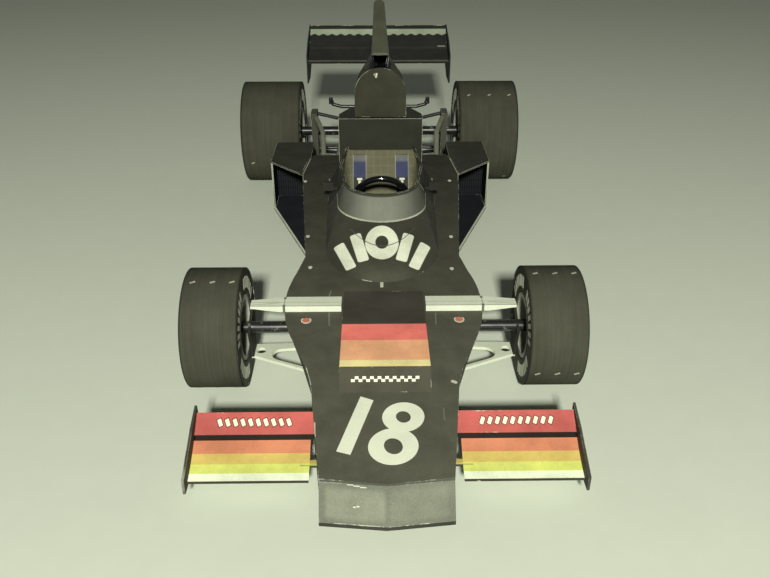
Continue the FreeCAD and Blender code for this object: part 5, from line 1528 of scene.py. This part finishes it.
@dataclass
class Cockpit:
    """Cowl, screen, seat, belts, wheel and mirrors."""

    lining_columns: int = 22
    lining_rows: tuple[float, ...] = (0.0, 0.25, 0.5, 0.75, 1.0)
    lining_thick: float = 0.15
    lining_start: float = 11.6
    lining_gap: float = 0.1
    belly: Spot = (0.9, 0.45)
    belt_thick: float = 0.5
    belt_inner: float = 3.5
    buckles: tuple[tuple[str, float, Point], ...] = (("belt_buckle_bars", 18.0, (1.25, 0.16, 0.5)),
                                                     ("belt_buckle_tongues", 16.9, (0.6, 0.16, 2.2)))
    seam_wide: float = 0.22
    seam_long: float = 6.3
    cowl: CowlCard = CowlCard(
        "cowl_print", ink=(0.062, 0.061, 0.047), dullness=0.44, rub=0.3,
        bars=(Mark((-4.75, -31.4), (1.15, 4.2), 0.5, -13.0), Mark((-7.7, -33.2), (1.1, 4.2), 0.5, -20.0),
              Mark((4.65, -31.4), (1.15, 4.2), 0.5, 13.0), Mark((7.6, -33.2), (1.1, 4.2), 0.5, 20.0)))
    screen: ScreenCard = ScreenCard("screen_print", ink=(0.195, 0.197, 0.170), dullness=0.55, sheen=0.1,
                                    blotches=0.08, fibre=0.14, rub=0.45)
    wall: LinedCard = LinedCard("cockpit_side_card", ink=(0.042, 0.042, 0.034), rub=0.6)
    seat: QuiltCard = QuiltCard("seat_quilt", ink=(0.135, 0.129, 0.083), blotches=0.12, rub=0.2)
    belt: BeltCard = BeltCard("belt_paper", ink=(0.055, 0.064, 0.135), blotches=0.14, fibre=0.2, rub=0.3)
    buckle: Card = Card("buckle_card", ink=(0.70, 0.71, 0.62), blotches=0.08, rub=0.0)
    wire: Coated = Coated("wheel_gloss", colour=(0.006, 0.006, 0.007), chip=(0.012, 0.012, 0.012),
                          dullness=0.14, coat=1.0)
    column: Coated = Coated("column_paint")
    board: MarkedCard = MarkedCard(
        "dashboard_card", ink=DIM_INK, sheet=Sheet.CROSSWISE, bare=0.3, axes="XZ",
        marks=tuple(Mark(dial, (1.2, 1.2), 1.2, 0.0, PALE_INK)
                    for dial in ((-3.2, 17.6), (0.0, 18.2), (3.2, 17.6))))
    mirror: Card = Card("mirror_card", ink=DARK_INK, rub=0.1)
    seam: Card = Card("cockpit_seam", ink=(0.36, 0.37, 0.30), blotches=0.3, rub=0.0)

    def build(self) -> None:
        """Dresses the pieces, lines the cockpit's sides and adds the buckles and the seams."""
        dress(cowl=self.cowl, windscreen=self.screen, cockpit_side_left=self.wall,
              cockpit_side_right=self.wall, dashboard=self.board, seat=self.seat, seat_belts=self.belt,
              steering_wheel=self.wire, steering_column=self.column, mirrors=self.mirror)
        self.line_sides()
        self.buckle_belts()
        self.mark_feet()

    def line_sides(self) -> None:
        """Khaki card that curves from the seat's edges up to the cockpit's rim."""
        seat_low, seat_high = box_mm("seat")
        seat, walls = Ground("seat"), Ground("cockpit_side_left", "cockpit_side_right")
        rim, edge = box_mm("windscreen")[1].z - 0.25, seat_high.x - self.lining_gap
        front, rear = seat_low.y + self.lining_start, seat_high.y - self.lining_gap
        shape = bmesh.new()
        for side in Side:
            grid = []
            for i in range(self.lining_columns + 1):
                y = front + (rear - front) * i / self.lining_columns
                reach = abs(walls.meet((0.0, y, rim), (side.value, 0.0, 0.0))[0].x)
                seat_top = seat.height(side.value * (edge - self.lining_gap), y)
                low = Vector((edge, seat_top + self.lining_gap))
                high = Vector((reach - 0.05, max(rim, low.y + 0.2)))
                out, share = self.belly
                belly = Vector(((low.x + high.x) / 2 + out, low.y + share * (high.y - low.y)))
                curve = [(1 - t) ** 2 * low + 2 * t * (1 - t) * belly + t ** 2 * high
                         for t in self.lining_rows]
                grid.append([tuple(shape.verts.new(in_metres(side.value * (p.x + off), y, p.y))
                                   for off in (0.0, self.lining_thick)) for p in curve])
            close_sheet(shape, grid)
        add_piece("cockpit_lining", finished_mesh(shape, self.seat))

    def buckle_belts(self) -> None:
        """A T-shaped buckle on each belt: a bar over a tongue."""
        low, high = box_mm("seat_belts")
        tall, deep = high.z - low.z, high.y - low.y - self.belt_thick
        turns = [(-math.atan2(deep, tall), 0.0, 0.0)] * len(Side)
        for name, height, size in self.buckles:
            y = low.y + (height - low.z) / tall * deep - 0.1
            points = [(side.value * (high.x + self.belt_inner) / 2, y, height) for side in Side]
            Studs(StudShape.BAR).add(name, points, size, self.buckle, turns, slot="white_card")

    def mark_feet(self) -> None:
        """A pale cut edge along the foot of each cockpit side, where it is glued to the deck."""
        seams = Print(Ground("deck"), 0.05, 0.08)
        foot, rear = box_mm("cockpit_side_left")[1].x + 0.08, box_mm("headrest_box")[0].y - 0.2
        for side in Side:
            inner, outer = side.value * foot, side.value * (foot + self.seam_wide)
            seams.box((inner, rear - self.seam_long), (outer, rear))
        seams.add("cockpit_foot_seams", self.seam)


@dataclass
class Engine:
    """Cover, airbox, engine, gearbox and exhausts."""

    box: Card = Card("headrest_box_card", ink=(0.030, 0.030, 0.023), rub=0.78)
    cover: Card = Card("cover_card", ink=(0.050, 0.049, 0.038), rub=0.5)
    plate: MarkedCard = MarkedCard(
        "headrest_card", ink=(0.040, 0.040, 0.028), sheet=Sheet.CROSSWISE, rub=0.4, axes="XZ", soft=0.12,
        marks=(Mark((-0.95, 40.9), (0.20, 0.55), 0.15, 12.0, CORE),
               Mark((-1.35, 41.1), (0.25, 0.25), 0.15, 40.0)))
    scoop: ScoopCard = ScoopCard("airbox_card", ink=(0.085, 0.086, 0.060))
    block: MarkedCard = MarkedCard(
        "engine_print", ink=(0.22, 0.225, 0.20), rub=0.4, blotches=0.3, axes="YZ",
        marks=(*(Mark((28.0 + 3.9 * i, 7.6), (1.1, 1.5), 0.3, 0.0, PORT_PRINT) for i in range(4)),
               Mark((55.0, 11.5), (8.5, 0.08), 0.05, 0.0, SEAM_PRINT),
               Mark((50.0, 10.0), (0.1, 4.5), 0.05, 0.0, SEAM_PRINT),
               Mark((60.5, 10.0), (0.1, 4.5), 0.05, 0.0, SEAM_PRINT)))
    pipe: Card = Card("exhaust_card", ink=(0.26, 0.26, 0.22), rub=0.4, blotches=0.3)
    bolt: Card = Card("bolt_card", ink=(0.42, 0.42, 0.37), rub=0.0)
    head_rows: Spot = (0.60, 0.86)
    head_bolts: int = 6
    head_end: float = 1.2
    gearbox_half: float = 2.6
    gearbox_heights: Point = (8.4, 11.0, 13.6)

    def build(self) -> None:
        """Dresses the pieces and adds the bolts."""
        dress(headrest_box=self.box, engine_cover=self.cover, headrest_plate=self.plate, airbox=self.scoop,
              engine_block=self.block, cylinder_heads=self.block, gearbox=self.block, exhaust_left=self.pipe,
              exhaust_right=self.pipe)
        self.add_bolts()

    def add_bolts(self) -> None:
        """Two rows of bolts on each cylinder head, and two upright rows on the back of the gearbox."""
        ground, studs = Ground("cylinder_heads"), Studs(StudShape.DISC)
        low, high = box_mm("cylinder_heads")
        first, last = low.y + self.head_end, high.y - self.head_end
        pitch = (last - first) / (self.head_bolts - 1)
        spots = [(side.value * high.x * share, first + pitch * i)
                 for side in Side for share in self.head_rows for i in range(self.head_bolts)]
        points = [(x, y, ground.height(x, y)) for x, y in spots]
        studs.add("head_bolts", points, (0.62, 0.62, 0.3), self.bolt, sides=6, slot="engine_card")
        rear = box_mm("gearbox")[1].y
        points = [(side.value * self.gearbox_half, rear, z) for side in Side for z in self.gearbox_heights]
        turns = [(math.pi / 2, 0.0, 0.0)] * len(points)
        studs.add("gearbox_bolts", points, (0.7, 0.7, 0.3), self.bolt, turns, 6, slot="engine_card")


@dataclass
class Pods:
    """Side pods and their radiators."""

    shell: PodCard = PodCard("pod_card", ink=(0.048, 0.048, 0.040), rub=0.75)
    core: FinCard = FinCard("radiator_print", ink=(0.016, 0.017, 0.021), rub=0.3)

    def build(self) -> None:
        """Dresses the pods."""
        dress(side_pod_left=self.shell, side_pod_right=self.shell, radiators=self.core)


@dataclass
class Suspension:
    """Axles, arms, wishbones, uprights and links."""

    arm: MarkedCard = MarkedCard(
        "arm_card", ink=(0.76, 0.79, 0.66), rub=0.15, blotches=0.06, mirrored=True, soft=0.05,
        marks=(Mark((16.2, -50.15), (8.4, 0.05), 0.03),
               Mark((16.2, -51.5), (8.4, 0.07), 0.03),
               # dark ends of the fold: painted shade in the notch at the deck's edge
               Mark((18.35, -48.2), (0.22, 0.75), 0.03, 0.0, CREASE_SHADE),
               Mark((18.35, -51.6), (0.22, 0.55), 0.03, 0.0, CREASE_SHADE),
               Mark((18.35, -50.0), (0.07, 2.0), 0.03),
               Mark((22.0, -50.7), (2.6, 0.05), 0.03, 9.0)))
    white: Card = Card("wishbone_card", ink=(0.70, 0.73, 0.60), rub=0.15, blotches=0.06)
    dark: Card = Card("upright_dark", ink=DARK_INK, rub=0.15)
    axle: Coated = Coated("axle_black", colour=(0.016, 0.016, 0.017), chip=(0.13, 0.13, 0.11), coat=0.3)
    grey: Card = Card("upright_card", ink=(0.085, 0.085, 0.068), rub=0.4)
    rod: Card = Card("radius_rod_card", ink=(0.22, 0.225, 0.175), rub=0.3)
    # near-black discs under the wishbones' holes: painted shade
    hole_shade: Card = Card("wishbone_hole_shade_card", ink=(0.028, 0.028, 0.024), rub=0.0)

    def build(self) -> None:
        """Dresses the pieces and puts dark card under the wishbones' small holes as painted shade."""
        dress(upper_arm_left=self.arm, upper_arm_right=self.arm, lower_wishbone_left=self.white,
              lower_wishbone_right=self.white, front_uprights=self.dark, front_axle=self.axle,
              rear_axle=self.axle, rear_upper_links=self.axle, rear_lower_arms=self.axle,
              anti_roll_bar=self.axle, rear_uprights=self.grey, radius_rods=self.rod)
        self.shade_holes()

    def shade_holes(self) -> None:
        """A dark disc under the round hole of each lower wishbone: painted shade seen through the hole."""
        low, high = box_mm("lower_wishbone_left")
        axle_low, axle_high = box_mm("front_axle")
        station = (axle_low.y + axle_high.y) / 2 + 1.5
        points = [(side.value * (high.x - 1.6), station, low.z - 0.04) for side in Side]
        Studs(StudShape.DISC).add("wishbone_hole_shades", points, (2.3, 2.3, 0.06), self.hole_shade, sides=32)


@dataclass
class RearWing:
    """Rear wing on its post."""

    wing: RearWingCard = RearWingCard("rear_wing_card", ink=(0.031, 0.031, 0.030))
    plate: Card = Card("rear_plate_card", ink=(0.028, 0.032, 0.027), rub=0.2)

    def build(self) -> None:
        """Dresses the wing."""
        dress(rear_wing=self.wing, rear_endplates=self.plate, wing_post=self.plate)


# ---- Studio ----
@dataclass
class Studio:
    """Pale floor, soft lamp ahead of the nose, weak light all round, and the camera."""

    paper: Card = Card("floor_paper", ink=(0.74, 0.78, 0.68), rub=0.0, blotches=0.012, fibre=0.01,
                       dullness=0.75, sheen=0.2)
    floor_half: float = 6.0
    air: Rgb = (0.93, 1.0, 0.88)
    air_ahead: float = 0.08
    air_behind: float = 0.45
    air_above: float = 0.12
    lamp_place: Point = (0.0, -480.0, 275.0)
    lamp_aim: Point = (0.0, 0.0, 0.0)
    lamp_size: float = 36.0
    lamp_power: float = 3.2
    lamp_colour: Rgb = (0.98, 1.0, 0.86)
    eye: Point = (-1.5, -176.8, 86.7)
    pitch: float = 29.0
    yaw: float = -0.8
    lens: float = 36.8
    sensor: float = 36.0
    reach: Spot = (0.005, 20.0)

    def make_floor(self) -> None:
        """A pale floor with a faint tooth; its half length is in metres."""
        shape = bmesh.new()
        bmesh.ops.create_grid(shape, x_segments=8, y_segments=8, size=self.floor_half)
        floor = put_in_scene("floor", finished_mesh(shape, self.paper, outward=False))

    def make_lamp(self) -> None:
        """A soft square lamp high ahead of the nose, turned to the car's middle."""
        data = bpy.data.lights.new("lamp", "AREA")
        data.shape = "RECTANGLE"
        data.energy = self.lamp_power
        data.color = self.lamp_colour
        data.size = self.lamp_size * MM
        data.size_y = self.lamp_size * MM
        lamp = put_in_scene("lamp", data)
        lamp.location = in_metres(*self.lamp_place)
        way = in_metres(*self.lamp_aim) - lamp.location
        lamp.rotation_euler = way.to_track_quat("-Z", "Y").to_euler()
        lamp.visible_camera = False

    def make_air(self) -> None:
        """Weak light from all round, stronger from behind the car and from low down."""
        world = bpy.data.worlds.new("air")
        bpy.context.scene.world = world
        world.use_nodes = True
        world.node_tree.nodes.clear()
        net = Net(world.node_tree)
        _, back, up = net.split(net.coords("Generated"))
        strength = net.times(net.rise(back, -0.7, 0.7, self.air_ahead, self.air_behind),
                             net.rise(up, 0.30, 0.50, 1.0, self.air_above))
        air = net.add("ShaderNodeBackground", (*self.air, 1.0), strength)
        net.add("ShaderNodeOutputWorld", air.outputs[0])

    def make_camera(self) -> None:
        """The camera, ahead of the nose and looking down on the car."""
        data = bpy.data.cameras.new("camera")
        data.lens = self.lens
        data.sensor_width = self.sensor
        data.clip_start, data.clip_end = self.reach
        camera = put_in_scene("camera", data)
        camera.location = in_metres(*self.eye)
        camera.rotation_euler = (math.radians(90.0 - self.pitch), 0.0, math.radians(self.yaw))
        bpy.context.scene.camera = camera
        bpy.context.scene.view_settings.view_transform = "Standard"

    def build(self) -> None:
        """Sets up the studio."""
        self.make_floor()
        self.make_lamp()
        self.make_air()
        self.make_camera()
        log.info("studio ready")


def main() -> None:
    """Builds everything in order."""
    logging.basicConfig(level=logging.INFO, format="%(message)s")
    wheels = [Wheel("front", Side.LEFT, (87.5, -19.5)), Wheel("front", Side.RIGHT, (77.0, -48.0)),
              Wheel("rear", Side.LEFT, (60.5, -52.0)), Wheel("rear", Side.RIGHT, (-21.5,))]
    parts = [Studio(), *wheels, Nose(), Deck(), Cockpit(), Engine(), Pods(), Suspension(), RearWing()]
    for part in parts:
        part.build()


if __name__ == "__main__":
    main()
